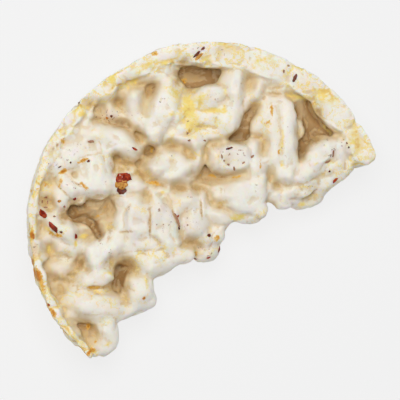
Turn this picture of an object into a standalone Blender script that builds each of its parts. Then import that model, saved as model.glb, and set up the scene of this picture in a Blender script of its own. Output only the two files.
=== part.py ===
"""Broken puffed rice cake, about three fifths of a round cake, as one closed solid.

Popped grains are pressed against each other in a shallow round mould. Each grain is a swollen,
uneven lobe. Those that reach the mould are flat where they touch it, so the cake has a level
underside, flat facets on top, and a rim of grains squared off against the wall. Between the
grains lie creases and open pockets, and the broken side follows the outlines of whole grains.

The tables are in millimetres and degrees, seen from above, with the axis of the whole round
cake at X = Y = 0; bearings and headings run counter-clockwise from +X. The finished mesh is in
metres, +Z up, with the middle of its box at X = Y = 0 and its underside on Z = 0.
"""

import math
from dataclasses import dataclass

import bmesh
import bpy
import numpy as np
from mathutils import Matrix, Vector, noise

MM = 0.001

# Driving dimensions: the mould, and the part of its circle that is left.
CAKE_RADIUS = 47.5
THICKNESS = 15.0
PIECE_NAME = "rice_cake"

# Rim: where one pressed grain ends and the next starts, and how far each reaches inwards.
RIM_JOINTS = (20.8, 34.5, 50.0, 62.0, 77.0, 90.4, 98.0, 109.0, 120.6, 132.7, 139.7, 151.0,
              161.0, 169.5, 177.5, 185.0, 195.0, 203.6, 212.0, 221.0, 228.3)
RIM_DEPTHS = (6.4, 7.6, 6.8, 7.8, 7.4, 5.8, 5.4, 6.0, 5.4, 5.0, 4.6, 3.8,
              3.0, 2.8, 2.6, 2.6, 2.6, 2.8, 2.4, 2.4)
RIM_LAP = 1.1
RIM_HEIGHT = 6.5
RIM_CRUSH = 1.0
RIM_RISE = 0.9
RIM_FULLNESS = 2.7
RIM_LUMPINESS = 0.08

# Where the grains fall short of the mould wall, and by how much.
SHORTFALL_BEARINGS = (20.0, 40.0, 58.0, 102.0, 116.0, 130.0, 142.0, 156.0, 166.0, 180.0, 212.0,
                      230.0)
SHORTFALLS = (0.6, 0.5, 0.0, 0.0, 0.9, 1.5, 1.1, 0.2, 0.5, 0.0, 0.2, 0.8)

# Rows of grains against the wall, under the rim: heights of their tops, ends and sizes.
WALL_ROW_TOPS = (10.6, 6.0)
WALL_ROW_ENDS = (25.5, 225.5)
WALL_ROW_CRUSH = 0.5
WALL_ROW_LAP = 1.0
WALL_ROW_DEPTHS = (5.0, 8.0)
WALL_ROW_HEIGHT = 6.8
WALL_ROW_PITCH = (5.2, 7.4)
WALL_ROW_FULLNESS = 2.8

# The slab that closes the piece through its middle.
CORE_LEVELS = (4.4, 5.8)
CORE_INSET = 5.5
CORE_STEP = 2.5
CORE_BLOCK = 3.25

# How full a grain is (2 is an ellipsoid), how lumpy, and how much it swells past its table size.
FULLNESS = 2.05
LUMPINESS = 0.10
LUMPS_ACROSS = 1.3
LUMP_SHIFT = (3.1, 1.7, 0.3)
SWELL = 1.15
HEIGHT_TO_WIDTH = 1.15
GAP_HEIGHT_TO_WIDTH = 1.3
FLOOR_HEIGHT = 6.0
GRAIN_HEIGHT_LIMIT = 9.5
FOOT_FULLNESS = 3.0

# Scattered grains, as shares of the layer's pitch: rows, strays, lengths and widths. The last
# two are the shares of a grain's width that it keeps clear of the edge and of pockets.
ROW_SPACING = 0.87
STRAY = 0.22
SCATTERED_LENGTHS = (1.15, 1.7)
SCATTERED_WIDTHS = (0.95, 1.2)
EDGE_CLEARANCE = 0.4
POCKET_CLEARANCE = 0.35
SCATTER_SEED = 7

# Pressing and fusing.
PRESS_SOFTNESS = 0.12
PRESS_EXCESS = 0.3
VOXEL = 0.5
SMOOTH_ROUNDS = 4
SMOOTH_FACTOR = 0.5
FACE_BUDGET = 7300
CREASE_ANGLE = 50.0

# How finely the arc of the outline and the mould's wall are divided.
ARC_POINTS = 90
WALL_SEGMENTS = 180

# Finish.
IVORY = (0.80, 0.72, 0.58, 1.0)
ROUGHNESS = 0.6


@dataclass
class Grain:
    """One popped grain: place, length, width and heading in plan, and height of its top."""

    x: float
    y: float
    length: float
    width: float
    heading: float
    top: float


@dataclass
class Pocket:
    """An open pocket between the grains: an oval in plan that no mortar grain fills."""

    x: float
    y: float
    length: float
    width: float
    heading: float


@dataclass
class Layer:
    """A scattered layer of grains: range of heights of their tops, spacing, height and margin."""

    tops: tuple[float, float]
    pitch: float
    height: float
    margin: float
    pockets: tuple[Pocket, ...] = ()


# The grains that show on top, zone by zone.
TOP_GRAINS = (
    # Northern cluster, two fat lobes round a hollow heart.
    Grain(-12.6, 29.3, 14.6, 8.2, 75, 15.4),
    Grain(-11.5, 35.0, 7.0, 6.5, 60, 14.6),
    Grain(-5.0, 29.5, 11.0, 6.0, 88, 13.8),
    Grain(0.0, 33.5, 8.5, 5.5, 5, 15.2),
    Grain(6.5, 35.5, 10.5, 6.0, 87, 15.3),
    Grain(4.5, 27.5, 10.0, 6.4, 75, 15.0),
    Grain(-1.0, 27.5, 6.5, 5.5, 0, 14.2),
    Grain(-4.0, 21.5, 6.0, 5.0, 70, 14.2),
    Grain(-1.0, 23.5, 4.5, 4.0, 0, 13.6),
    # North-western grains behind the rim.
    Grain(-20.6, 32.6, 9.0, 5.4, 103, 14.4),
    Grain(-20.0, 27.0, 7.0, 5.0, -30, 13.8),
    Grain(-27.0, 29.5, 8.0, 6.0, -10, 10.0),
    Grain(-17.0, 39.0, 5.0, 3.5, 20, 13.5),
    # Eastern arch and the long twin grain.
    Grain(13.0, 34.2, 7.5, 5.5, 80, 13.6),
    Grain(14.3, 27.5, 9.5, 5.0, 70, 14.2),
    Grain(18.0, 32.0, 8.5, 4.5, 5, 13.6),
    Grain(16.5, 22.0, 16.5, 4.5, 92, 14.8),
    Grain(20.5, 23.0, 20.0, 4.8, 93, 15.2),
    Grain(19.5, 13.5, 8.5, 7.5, 80, 14.8),
    Grain(23.3, 24.8, 6.0, 3.6, 85, 13.4),
    Grain(28.5, 17.5, 12.0, 7.5, 52, 15.2),
    Grain(25.5, 14.0, 6.5, 5.5, 40, 14.6),
    Grain(34.5, 19.0, 9.0, 5.5, 95, 14.2),
    Grain(31.5, 12.0, 7.0, 5.5, 40, 12.8),
    Grain(23.5, 11.0, 5.0, 4.0, -15, 13.4),
    Grain(17.8, 8.0, 5.5, 4.6, 20, 10.8),
    Grain(26.5, 6.5, 8.5, 4.5, 20, 9.0),
    Grain(36.0, 14.5, 5.0, 3.0, 50, 8.0),
    Grain(29.5, 10.0, 6.0, 4.5, 30, 10.5),
    # Middle, with the round pressed grain.
    Grain(-14.1, 14.8, 6.8, 6.6, 80, 13.8),
    Grain(-7.5, 14.5, 11.5, 7.5, 22, 13.9),
    Grain(-9.5, 18.8, 8.0, 5.0, 10, 10.4),
    Grain(-2.5, 16.5, 6.5, 5.0, 80, 12.4),
    Grain(6.0, 17.5, 11.4, 9.0, 14, 15.8),
    Grain(4.0, 16.0, 10.5, 8.0, 90, 13.8),
    Grain(12.0, 20.0, 6.0, 4.0, 100, 13.2),
    Grain(12.2, 15.5, 8.0, 6.2, 70, 14.8),
    Grain(9.0, 7.5, 12.0, 10.5, 0, 15.0),
    Grain(10.0, 2.8, 8.5, 5.0, 0, 12.0),
    Grain(1.5, 8.5, 6.5, 5.0, 85, 12.8),
    Grain(2.5, 2.5, 8.0, 6.0, -10, 12.6),
    Grain(-7.0, 5.5, 9.5, 9.0, -20, 13.6),
    Grain(-4.5, -1.0, 8.5, 7.0, 70, 14.2),
    Grain(-2.0, 5.5, 7.0, 3.5, 88, 13.0),
    Grain(-18.5, 0.5, 12.5, 7.0, 98, 15.4),
    Grain(-12.5, 0.5, 15.5, 8.0, 108, 15.6),
    Grain(-0.7, -7.0, 7.0, 6.0, 15, 9.4),
    Grain(1.5, -2.7, 5.5, 5.0, 60, 12.0),
    Grain(-8.0, -8.0, 9.0, 4.5, 12, 12.4),
    Grain(-14.0, -10.0, 10.0, 7.5, 20, 13.8),
    Grain(-19.0, 10.5, 7.0, 6.5, -40, 14.2),
    Grain(-21.0, 5.5, 8.5, 5.0, -15, 13.6),
    Grain(-23.0, 0.5, 8.0, 4.5, 88, 13.0),
    Grain(-21.0, -6.5, 9.0, 7.0, 60, 13.0),
    # West, round the big white grain.
    Grain(-30.5, 12.0, 11.0, 9.5, 95, 15.2),
    Grain(-36.0, 17.5, 11.5, 8.5, 25, 15.3),
    Grain(-36.5, 9.0, 10.0, 5.0, -48, 14.9),
    Grain(-39.5, 7.0, 8.0, 5.0, -58, 14.4),
    Grain(-28.0, 22.5, 19.0, 7.5, -12, 14.7),
    Grain(-20.5, 19.0, 6.0, 5.5, 0, 14.0),
    Grain(-40.2, 0.2, 14.5, 5.8, -39, 15.0),
    # South-western horn.
    Grain(-25.8, -5.7, 9.0, 6.0, 78, 14.2),
    Grain(-30.2, -8.8, 9.0, 6.0, 93, 14.6),
    Grain(-30.0, -14.2, 9.5, 5.0, 2, 14.6),
    Grain(-30.5, -21.0, 16.0, 8.5, -4, 14.7),
    Grain(-27.0, -28.0, 11.0, 6.0, 88, 13.4),
    Grain(-39.4, -6.6, 11.5, 6.0, -5, 13.2),
    Grain(-38.6, -11.8, 10.0, 5.6, 0, 12.4),
    Grain(-36.0, -17.5, 7.0, 5.5, 80, 12.0),
    Grain(-18.8, -17.3, 10.5, 8.0, 95, 13.8),
    Grain(-18.0, -10.5, 6.5, 5.0, 0, 12.6),
    Grain(-16.5, -20.5, 5.5, 4.0, 20, 11.6),
    Grain(-21.5, -21.5, 6.5, 4.5, 30, 11.0),
    Grain(-33.0, -24.5, 10.5, 4.0, -12, 12.8),
    Grain(-29.5, -32.3, 6.5, 4.0, 30, 12.0),
    # Low grains at the bottom of the western pocket.
    Grain(-29.5, 4.5, 7.5, 5.0, 10, 9.2),
    Grain(-27.0, 0.5, 7.0, 5.0, 60, 10.0),
)

# Small grains that close the gaps between the others.
GAP_GRAINS = (
    Grain(-42.3, 13.2, 7.5, 5.0, 80, 14.2),
    Grain(-43.8, 9.8, 6.5, 4.4, 85, 13.6),
    Grain(-24.3, 31.4, 6.5, 4.6, 65, 11.0),
    Grain(-16.4, 36.0, 5.0, 4.0, 70, 11.0),
    Grain(-31.5, -28.5, 8.0, 5.0, -45, 8.8),
    Grain(-15.0, -5.5, 5.5, 4.5, 20, 12.2),
    Grain(-39.8, -16.2, 5.5, 4.5, -70, 10.6),
    Grain(10.2, 38.0, 5.5, 4.5, 20, 11.4),
    Grain(18.0, 36.6, 7.5, 4.5, -20, 13.2),
    Grain(15.3, 12.8, 4.5, 4.0, 0, 12.6),
    Grain(9.6, 30.5, 5.5, 4.5, 80, 10.2),
    Grain(-24.0, 15.3, 3.8, 3.4, 0, 11.4),
    Grain(-20.8, 14.0, 4.4, 3.4, -20, 11.8),
    Grain(-23.6, 10.3, 7.5, 4.0, 85, 13.4),
    Grain(-44.8, 3.0, 5.5, 3.6, -70, 14.2),
    Grain(-43.6, -4.5, 5.0, 4.0, 80, 12.4),
    Grain(20.8, 34.8, 5.0, 4.5, -30, 12.0),
    Grain(22.2, 7.0, 5.5, 4.2, -25, 10.2),
    Grain(-14.4, 25.0, 7.5, 6.0, 80, 15.0),
    Grain(-6.4, 24.4, 6.0, 4.6, 20, 14.0),
    Grain(-4.0, 10.4, 8.0, 3.6, -8, 11.0),
)

# Broad smooth lobes that floor the open pockets.
POCKET_FLOORS = (
    Grain(28.5, 27.0, 15.0, 9.5, -58, 9.0),
    Grain(-3.0, 38.6, 14.0, 8.0, 0, 8.4),
    Grain(9.3, 26.0, 12.0, 6.5, 65, 10.0),
    Grain(-33.0, -27.5, 8.5, 5.5, -45, 8.8),
)

# The broad grain pressed on the mould floor under the middle of the piece.
FOOT = Grain(-6.0, 9.0, 14.0, 11.0, 30, 6.4)
FOOT_HEIGHT = 7.4

POCKETS = (
    Pocket(-3.0, 38.3, 13.0, 6.0, 0),
    Pocket(9.5, 25.5, 11.0, 4.5, 65),
    Pocket(27.0, 27.5, 13.0, 8.0, -58),
    Pocket(24.0, 20.5, 8.0, 3.5, 80),
    Pocket(-31.0, 2.0, 14.0, 9.0, -12),
    Pocket(-23.5, -13.0, 10.0, 4.5, 85),
    Pocket(-33.0, -28.5, 9.0, 5.0, -35),
    Pocket(-30.0, 30.0, 4.0, 3.0, 0),
    Pocket(-24.5, 32.5, 4.0, 3.0, 0),
    Pocket(-16.0, 33.0, 8.0, 2.5, 70),
    Pocket(-4.5, -5.5, 3.0, 2.5, 0),
)

# The open pockets of the underside.
BASE_POCKETS = (
    Pocket(-25.0, 17.0, 11.0, 6.0, 30),
    Pocket(9.0, 26.0, 9.0, 5.0, -20),
    Pocket(-31.0, -14.0, 8.0, 5.0, 60),
    Pocket(22.0, 14.0, 8.0, 5.0, 10),
    Pocket(-13.0, -4.0, 8.0, 4.0, -40),
    Pocket(-9.0, 32.0, 9.0, 4.5, 15),
)

# Mortar grains fill up between the top ones; under them come the middle, the packing over the
# underside, and the grains of the underside itself.
MORTAR = Layer(tops=(9.6, 11.6), pitch=5.0, height=6.0, margin=1.2, pockets=POCKETS)
MIDDLE = Layer(tops=(6.4, 8.6), pitch=6.2, height=5.0, margin=0.8)
PACKING = Layer(tops=(6.6, 8.0), pitch=5.6, height=4.6, margin=1.0, pockets=BASE_POCKETS)
UNDERSIDE = Layer(tops=(5.0, 7.4), pitch=7.2, height=6.6, margin=0.6, pockets=BASE_POCKETS)

# The broken side, from the eastern tip to the southern one: turning points of its outline.
BROKEN_SIDE = ((43.0, 16.5), (37.0, 17.0), (36.5, 14.5), (33.0, 9.5), (28.0, 5.5), (24.0, 4.0), (20.5, 5.0),
               (14.5, 3.5), (13.5, 0.5), (6.0, 0.5), (4.0, -1.5), (3.0, -6.5), (0.5, -10.0),
               (-3.0, -11.0), (-8.5, -9.5), (-13.5, -14.0), (-15.5, -16.0), (-14.5, -19.5),
               (-17.0, -22.0), (-20.5, -23.0), (-24.0, -25.0), (-24.0, -31.0), (-27.0, -34.0),
               (-31.0, -35.5))


def polar(radius: float, bearing: float) -> tuple[float, float]:
    """Return the point at this distance and bearing from the cake's axis."""
    angle = math.radians(bearing)
    return (radius * math.cos(angle), radius * math.sin(angle))


def outline() -> np.ndarray:
    """Return the piece's outline in plan: the broken side closed by the arc of the wall."""
    bearings = np.linspace(RIM_JOINTS[-1], RIM_JOINTS[0], ARC_POINTS)
    arc = [polar(CAKE_RADIUS, bearing) for bearing in bearings]
    return np.array(list(BROKEN_SIDE) + arc)


def depth_inside(loop: np.ndarray, x: float, y: float) -> float:
    """Return how far a point lies inside a closed outline, negative outside it."""
    edge = np.roll(loop, -1, axis=0) - loop
    to_point = np.array((x, y)) - loop
    along = np.clip((to_point * edge).sum(axis=1) / (edge * edge).sum(axis=1), 0.0, 1.0)
    gap = np.hypot(*(to_point - edge * along[:, None]).T).min()
    spans = (loop[:, 1] > y) != (loop[:, 1] + edge[:, 1] > y)
    rise = np.where(spans, edge[:, 1], 1.0)
    crossing = loop[:, 0] + edge[:, 0] * (y - loop[:, 1]) / rise
    inside = np.count_nonzero(spans & (x < crossing)) % 2 == 1
    return gap if inside else -gap


def in_pocket(pocket: Pocket, x: float, y: float, margin: float) -> bool:
    """Tell whether a point lies in a pocket, or nearer to it than the margin."""
    angle = math.radians(pocket.heading)
    east = x - pocket.x
    north = y - pocket.y
    along = east * math.cos(angle) + north * math.sin(angle)
    across = north * math.cos(angle) - east * math.sin(angle)
    half_length = pocket.length / 2 + margin
    half_width = pocket.width / 2 + margin
    return (along / half_length) ** 2 + (across / half_width) ** 2 < 1.0


def soft_limit(values: np.ndarray, limit: float) -> np.ndarray:
    """Hold values below a limit, with a short rounded shoulder where they reach it."""
    return limit - PRESS_SOFTNESS * np.logaddexp(0.0, (limit - values) / PRESS_SOFTNESS)


def press(points: np.ndarray) -> np.ndarray:
    """Squash points into the mould: under its lid, over its floor and inside its wall."""
    height = soft_limit(points[:, 2], THICKNESS + PRESS_EXCESS)
    height = -soft_limit(-height, PRESS_EXCESS)
    radius = np.hypot(points[:, 0], points[:, 1])
    bearing = np.degrees(np.arctan2(points[:, 1], points[:, 0])) % 360.0
    wall = CAKE_RADIUS + PRESS_EXCESS - np.interp(bearing, SHORTFALL_BEARINGS, SHORTFALLS)
    shrink = soft_limit(radius, wall) / np.maximum(radius, 1e-6)
    return np.column_stack((points[:, 0] * shrink, points[:, 1] * shrink, height))


class GrainHeap:
    """Collects grains, each a swollen sphere, as loose objects that are joined at the end."""

    def __init__(self) -> None:
        """Start with no grains."""
        self.pieces = []

    def keep(self, mesh: bmesh.types.BMesh, name: str) -> None:
        """Store a finished bmesh as one loose object of the heap."""
        data = bpy.data.meshes.new(name)
        mesh.to_mesh(data)
        mesh.free()
        self.pieces.append(new_object(name, data))

    def add(self, grain: Grain, height: float, fullness: float = FULLNESS, swell: float = SWELL,
            lumpiness: float = LUMPINESS) -> None:
        """Add one grain of the given height, lumpy, turned to its heading and pressed."""
        mesh = bmesh.new()
        verts = bmesh.ops.create_icosphere(mesh, subdivisions=4, radius=1.0)["verts"]
        points = np.array([vert.co for vert in verts])
        points /= ((np.abs(points) ** fullness).sum(axis=1) ** (1.0 / fullness))[:, None]
        shift = Vector(LUMP_SHIFT) * (len(self.pieces) + 1)
        lumps = np.array([noise.noise(Vector(point) * LUMPS_ACROSS + shift) for point in points])
        points *= (1.0 + 2.0 * lumpiness * lumps)[:, None]
        points *= np.array((grain.length * swell, grain.width * swell, height)) / 2
        angle = math.radians(grain.heading)
        turn = np.array(((math.cos(angle), math.sin(angle), 0.0),
                         (-math.sin(angle), math.cos(angle), 0.0), (0.0, 0.0, 1.0)))
        points = points @ turn + np.array((grain.x, grain.y, grain.top - height / 2))
        for vert, point in zip(verts, press(points)):
            vert.co = Vector(point) * MM
        self.keep(mesh, "grain")

    def add_top_grains(self) -> None:
        """Add the grains that show on top."""
        for grain in TOP_GRAINS:
            self.add(grain, min(grain.width * HEIGHT_TO_WIDTH, GRAIN_HEIGHT_LIMIT))

    def add_rim(self) -> None:
        """Add the flat grains of the rim, joint by joint round the wall."""
        for start, end, depth in zip(RIM_JOINTS, RIM_JOINTS[1:], RIM_DEPTHS):
            lap_start = RIM_LAP if start > RIM_JOINTS[0] else 0.0
            lap_end = RIM_LAP if end < RIM_JOINTS[-1] else 0.0
            along = math.radians(end - start) * CAKE_RADIUS + lap_start + lap_end
            shift = math.degrees((lap_end - lap_start) / 2 / CAKE_RADIUS)
            bearing = (start + end) / 2 + shift
            reach = depth + RIM_CRUSH
            x, y = polar(CAKE_RADIUS + RIM_CRUSH - reach / 2, bearing)
            self.add(Grain(x, y, reach, along, bearing, THICKNESS + RIM_RISE), RIM_HEIGHT,
                     fullness=RIM_FULLNESS, swell=1.0, lumpiness=RIM_LUMPINESS)

    def add_wall_rows(self, random: np.random.Generator) -> None:
        """Add the rows of grains against the wall under the rim."""
        for top in WALL_ROW_TOPS:
            bearing = WALL_ROW_ENDS[0]
            while bearing < WALL_ROW_ENDS[1]:
                pitch = random.uniform(*WALL_ROW_PITCH)
                depth = random.uniform(*WALL_ROW_DEPTHS)
                x, y = polar(CAKE_RADIUS + WALL_ROW_CRUSH - depth / 2, bearing)
                row_grain = Grain(x, y, depth, pitch + WALL_ROW_LAP, bearing, top)
                self.add(row_grain, WALL_ROW_HEIGHT, fullness=WALL_ROW_FULLNESS, swell=1.0)
                bearing += math.degrees(pitch / CAKE_RADIUS)

    def add_layer(self, random: np.random.Generator, layer: Layer) -> None:
        """Scatter one layer of grains over the outline, clear of its edge and of the pockets."""
        loop = outline()
        pitch = layer.pitch
        rows = np.arange(-CAKE_RADIUS, CAKE_RADIUS, pitch * ROW_SPACING)
        for row, row_y in enumerate(rows):
            for column_x in np.arange(-CAKE_RADIUS, CAKE_RADIUS, pitch) + (row % 2) * pitch / 2:
                x = column_x + random.uniform(-STRAY, STRAY) * pitch
                y = row_y + random.uniform(-STRAY, STRAY) * pitch
                length = random.uniform(*SCATTERED_LENGTHS) * pitch
                width = random.uniform(*SCATTERED_WIDTHS) * pitch
                heading = random.uniform(0.0, 180.0)
                top = random.uniform(*layer.tops)
                if depth_inside(loop, x, y) < layer.margin + width * EDGE_CLEARANCE:
                    continue
                clear = width * POCKET_CLEARANCE
                if any(in_pocket(pocket, x, y, clear) for pocket in layer.pockets):
                    continue
                self.add(Grain(x, y, length, width, heading, top), layer.height, swell=1.0)

    def add_core(self) -> None:
        """Add a flat slab inside the outline, so that no pocket opens right through the piece."""
        loop = outline()
        low, high = CORE_LEVELS
        size = Matrix.Diagonal((CORE_BLOCK * MM, CORE_BLOCK * MM, (high - low) * MM, 1.0))
        mesh = bmesh.new()
        for x in np.arange(-CAKE_RADIUS, CAKE_RADIUS, CORE_STEP):
            for y in np.arange(-CAKE_RADIUS, CAKE_RADIUS, CORE_STEP):
                if depth_inside(loop, x, y) > CORE_INSET:
                    place = Matrix.Translation(Vector((x, y, (low + high) / 2)) * MM)
                    bmesh.ops.create_cube(mesh, size=1.0, matrix=place @ size)
        self.keep(mesh, "core")

    def add_foot(self) -> None:
        """Add the broad pressed grain under the middle that the piece rests on."""
        self.add(FOOT, FOOT_HEIGHT, fullness=FOOT_FULLNESS)

    def add_gap_grains(self) -> None:
        """Add the small grains that close gaps, and the lobes that floor the pockets."""
        for grain in GAP_GRAINS:
            self.add(grain, grain.width * GAP_HEIGHT_TO_WIDTH)
        for grain in POCKET_FLOORS:
            self.add(grain, FLOOR_HEIGHT)

    def join(self) -> bpy.types.Object:
        """Join the loose objects into one and return it."""
        first = self.pieces[0]
        with bpy.context.temp_override(active_object=first, object=first,
                                       selected_editable_objects=self.pieces):
            bpy.ops.object.join()
        return first


def evaluated(mesh_object: bpy.types.Object) -> bpy.types.Mesh:
    """Return the mesh of an object with its modifiers applied."""
    graph = bpy.context.evaluated_depsgraph_get()
    return bpy.data.meshes.new_from_object(mesh_object.evaluated_get(graph))


def new_object(name: str, mesh: bpy.types.Mesh) -> bpy.types.Object:
    """Link a new object that holds the mesh."""
    made = bpy.data.objects.new(name, mesh)
    bpy.context.scene.collection.objects.link(made)
    return made


def outer_shell(mesh: bpy.types.Mesh) -> None:
    """Keep the largest connected shell of a mesh, dropping sealed voids and loose crumbs."""
    shell = bmesh.new()
    shell.from_mesh(mesh)
    shell.verts.ensure_lookup_table()
    seen = set()
    groups = []
    for vert in shell.verts:
        if vert.index in seen:
            continue
        group = []
        stack = [vert]
        seen.add(vert.index)
        while stack:
            current = stack.pop()
            group.append(current)
            for edge in current.link_edges:
                other = edge.other_vert(current)
                if other.index not in seen:
                    seen.add(other.index)
                    stack.append(other)
        groups.append(group)
    groups.sort(key=len)
    loose = [vert for group in groups[:-1] for vert in group]
    bmesh.ops.delete(shell, geom=loose, context="VERTS")
    shell.to_mesh(mesh)
    shell.free()


def fuse(heap: GrainHeap) -> bpy.types.Object:
    """Fuse the heaped grains into one skin and thin its faces to the budget."""
    heap_object = heap.join()
    remesh = heap_object.modifiers.new("fuse", "REMESH")
    remesh.mode = "VOXEL"
    remesh.voxel_size = VOXEL * MM
    smooth = heap_object.modifiers.new("soften", "SMOOTH")
    smooth.factor = SMOOTH_FACTOR
    smooth.iterations = SMOOTH_ROUNDS
    skin = evaluated(heap_object)
    bpy.data.objects.remove(heap_object)
    outer_shell(skin)
    fused = new_object("fused_grains", skin)
    decimate = fused.modifiers.new("thin", "DECIMATE")
    decimate.ratio = FACE_BUDGET / (2 * len(skin.polygons))
    return fused


def mould_cavity() -> bpy.types.Object:
    """Return the space inside the closed mould, which trims every pressed face flat."""
    cavity = bmesh.new()
    centre = Matrix.Translation((0.0, 0.0, THICKNESS / 2 * MM))
    bmesh.ops.create_cone(cavity, cap_ends=True, segments=WALL_SEGMENTS, radius1=CAKE_RADIUS * MM,
                          radius2=CAKE_RADIUS * MM, depth=THICKNESS * MM, matrix=centre)
    mesh = bpy.data.meshes.new("mould_cavity")
    cavity.to_mesh(mesh)
    cavity.free()
    made = new_object("mould_cavity", mesh)
    made.hide_render = True
    made.display_type = "WIRE"
    return made


def puffed_material() -> bpy.types.Material:
    """Return the ivory finish of puffed grain."""
    material = bpy.data.materials.new("puffed_grain")
    material.use_nodes = True
    shader = material.node_tree.nodes["Principled BSDF"]
    shader.inputs["Base Color"].default_value = IVORY
    shader.inputs["Roughness"].default_value = ROUGHNESS
    shader.inputs["Metallic"].default_value = 0.0
    return material


def build() -> bpy.types.Object:
    """Heap, fuse and trim the grains, and centre the finished piece over the origin."""
    random = np.random.default_rng(SCATTER_SEED)
    heap = GrainHeap()
    heap.add_top_grains()
    heap.add_rim()
    heap.add_wall_rows(random)
    for layer in (MORTAR, MIDDLE, PACKING, UNDERSIDE):
        heap.add_layer(random, layer)
    heap.add_foot()
    heap.add_core()
    heap.add_gap_grains()
    fused = fuse(heap)
    cavity = mould_cavity()
    trim = fused.modifiers.new("trim", "BOOLEAN")
    trim.operation = "INTERSECT"
    trim.solver = "EXACT"
    trim.object = cavity
    mesh = evaluated(fused)
    bpy.data.objects.remove(fused)
    bpy.data.objects.remove(cavity)
    outer_shell(mesh)
    corners = np.array([vert.co for vert in mesh.vertices])
    middle = (corners.min(axis=0) + corners.max(axis=0)) / 2
    mesh.transform(Matrix.Translation((-middle[0], -middle[1], 0.0)))
    mesh.name = PIECE_NAME
    mesh.materials.clear()
    mesh.materials.append(puffed_material())
    mesh.shade_smooth()
    mesh.set_sharp_from_angle(angle=math.radians(CREASE_ANGLE))
    return new_object(PIECE_NAME, mesh)


for old in list(bpy.data.objects):
    bpy.data.objects.remove(old)
build()
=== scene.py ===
"""Looks of the broken puffed rice cake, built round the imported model.

The solid of the frame is replaced by a finer skin of the same pressed grains, with creases,
cracks and pockets, and bits of seed hull lie on it. Tables are in millimetres and degrees,
seen from above, round the axis of the whole round cake; bearings and headings run
counter-clockwise from +X. Meshes are in metres, in the frame's own coordinates.
"""

import logging
import math
from dataclasses import dataclass
from enum import Enum

import bmesh
import bpy
import numpy as np
from mathutils import Matrix, Vector, noise
from mathutils.bvhtree import BVHTree


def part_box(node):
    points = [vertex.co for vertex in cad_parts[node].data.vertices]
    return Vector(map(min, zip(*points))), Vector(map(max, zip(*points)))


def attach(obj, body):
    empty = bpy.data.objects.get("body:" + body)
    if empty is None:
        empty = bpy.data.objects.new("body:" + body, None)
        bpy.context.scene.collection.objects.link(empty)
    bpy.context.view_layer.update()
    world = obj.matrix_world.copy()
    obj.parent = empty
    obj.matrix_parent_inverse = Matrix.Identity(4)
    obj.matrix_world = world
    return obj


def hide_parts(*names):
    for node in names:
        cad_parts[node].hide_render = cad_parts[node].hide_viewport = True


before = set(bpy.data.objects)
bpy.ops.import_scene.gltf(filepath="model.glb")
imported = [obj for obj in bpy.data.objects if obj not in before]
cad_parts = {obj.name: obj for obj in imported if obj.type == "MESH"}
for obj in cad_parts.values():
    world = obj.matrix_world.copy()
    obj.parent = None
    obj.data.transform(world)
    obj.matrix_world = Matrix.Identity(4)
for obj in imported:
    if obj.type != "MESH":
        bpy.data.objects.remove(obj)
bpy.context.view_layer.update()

LOG = logging.getLogger("rice_cake")
MM = 0.001
CAD_NODE = "rice_cake"
Colour = tuple[float, float, float]


@dataclass(frozen=True)
class Grain:
    """One popped grain: place, length, width and heading in plan, and height of its top."""

    x: float
    y: float
    length: float
    width: float
    heading: float
    top: float


@dataclass(frozen=True)
class Oval:
    """An oval in plan: an open pocket, or the reach of a stain or of painted valley shade."""

    x: float
    y: float
    length: float
    width: float
    heading: float

    def ratio(self, x: np.ndarray, y: np.ndarray, margin: float = 0.0) -> np.ndarray:
        """Measure how far points lie from the middle, squared, with 1 on the oval's edge.

        Args:
            x: Places along X.
            y: Places along Y.
            margin: Added to the oval all round.

        Returns:
            One number for each point.
        """
        angle = math.radians(self.heading)
        along = (x - self.x) * math.cos(angle) + (y - self.y) * math.sin(angle)
        across = (y - self.y) * math.cos(angle) - (x - self.x) * math.sin(angle)
        return (along / (self.length / 2 + margin)) ** 2 + (across / (self.width / 2 + margin)) ** 2


@dataclass(frozen=True)
class Layer:
    """A scattered layer of grains: heights of their tops, spacing, thickness, margin, pockets."""

    tops: tuple[float, float]
    pitch: float
    height: float
    margin: float
    pockets: tuple[Oval, ...] = ()


class PatchKind(Enum):
    """The marks on the skin, and the painted shade of its valleys, each kept in a mask of its own."""

    YELLOW = "yellow_mask"
    ORANGE = "toast_mask"
    TAN = "valley_shade_mask"
    GREY = "pressed_mask"
    CRACK = "crack_mask"


@dataclass(frozen=True)
class Patch(Oval):
    """One mark on the top, or one patch of painted valley shade: its oval and strength."""

    strength: float


class HullTone(Enum):
    """The colours of the bits of hull."""

    RED = "red"
    DARK = "dark"
    BROWN = "brown"
    AMBER = "amber"
    ORANGE = "orange"


@dataclass(frozen=True)
class Flake:
    """One bit of hull on the top: place, size, heading and tone."""

    x: float
    y: float
    length: float
    width: float
    heading: float
    tone: HullTone


@dataclass(frozen=True)
class Waves:
    """Smooth noise of about -1 to 1: size of its features, count of finer layers, and seed."""

    size: float
    octaves: int
    seed: float

    def at(self, points: np.ndarray) -> np.ndarray:
        """Read the noise at each row of X, Y and Z, in millimetres."""
        shifted = points / self.size + self.seed
        return np.array([noise.fractal(Vector(point), 0.6, 2.0, self.octaves) for point in shifted])


def table(kind: type, *rows: tuple) -> tuple:
    """Make one record of a kind from each row."""
    return tuple(kind(*row) for row in rows)


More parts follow.
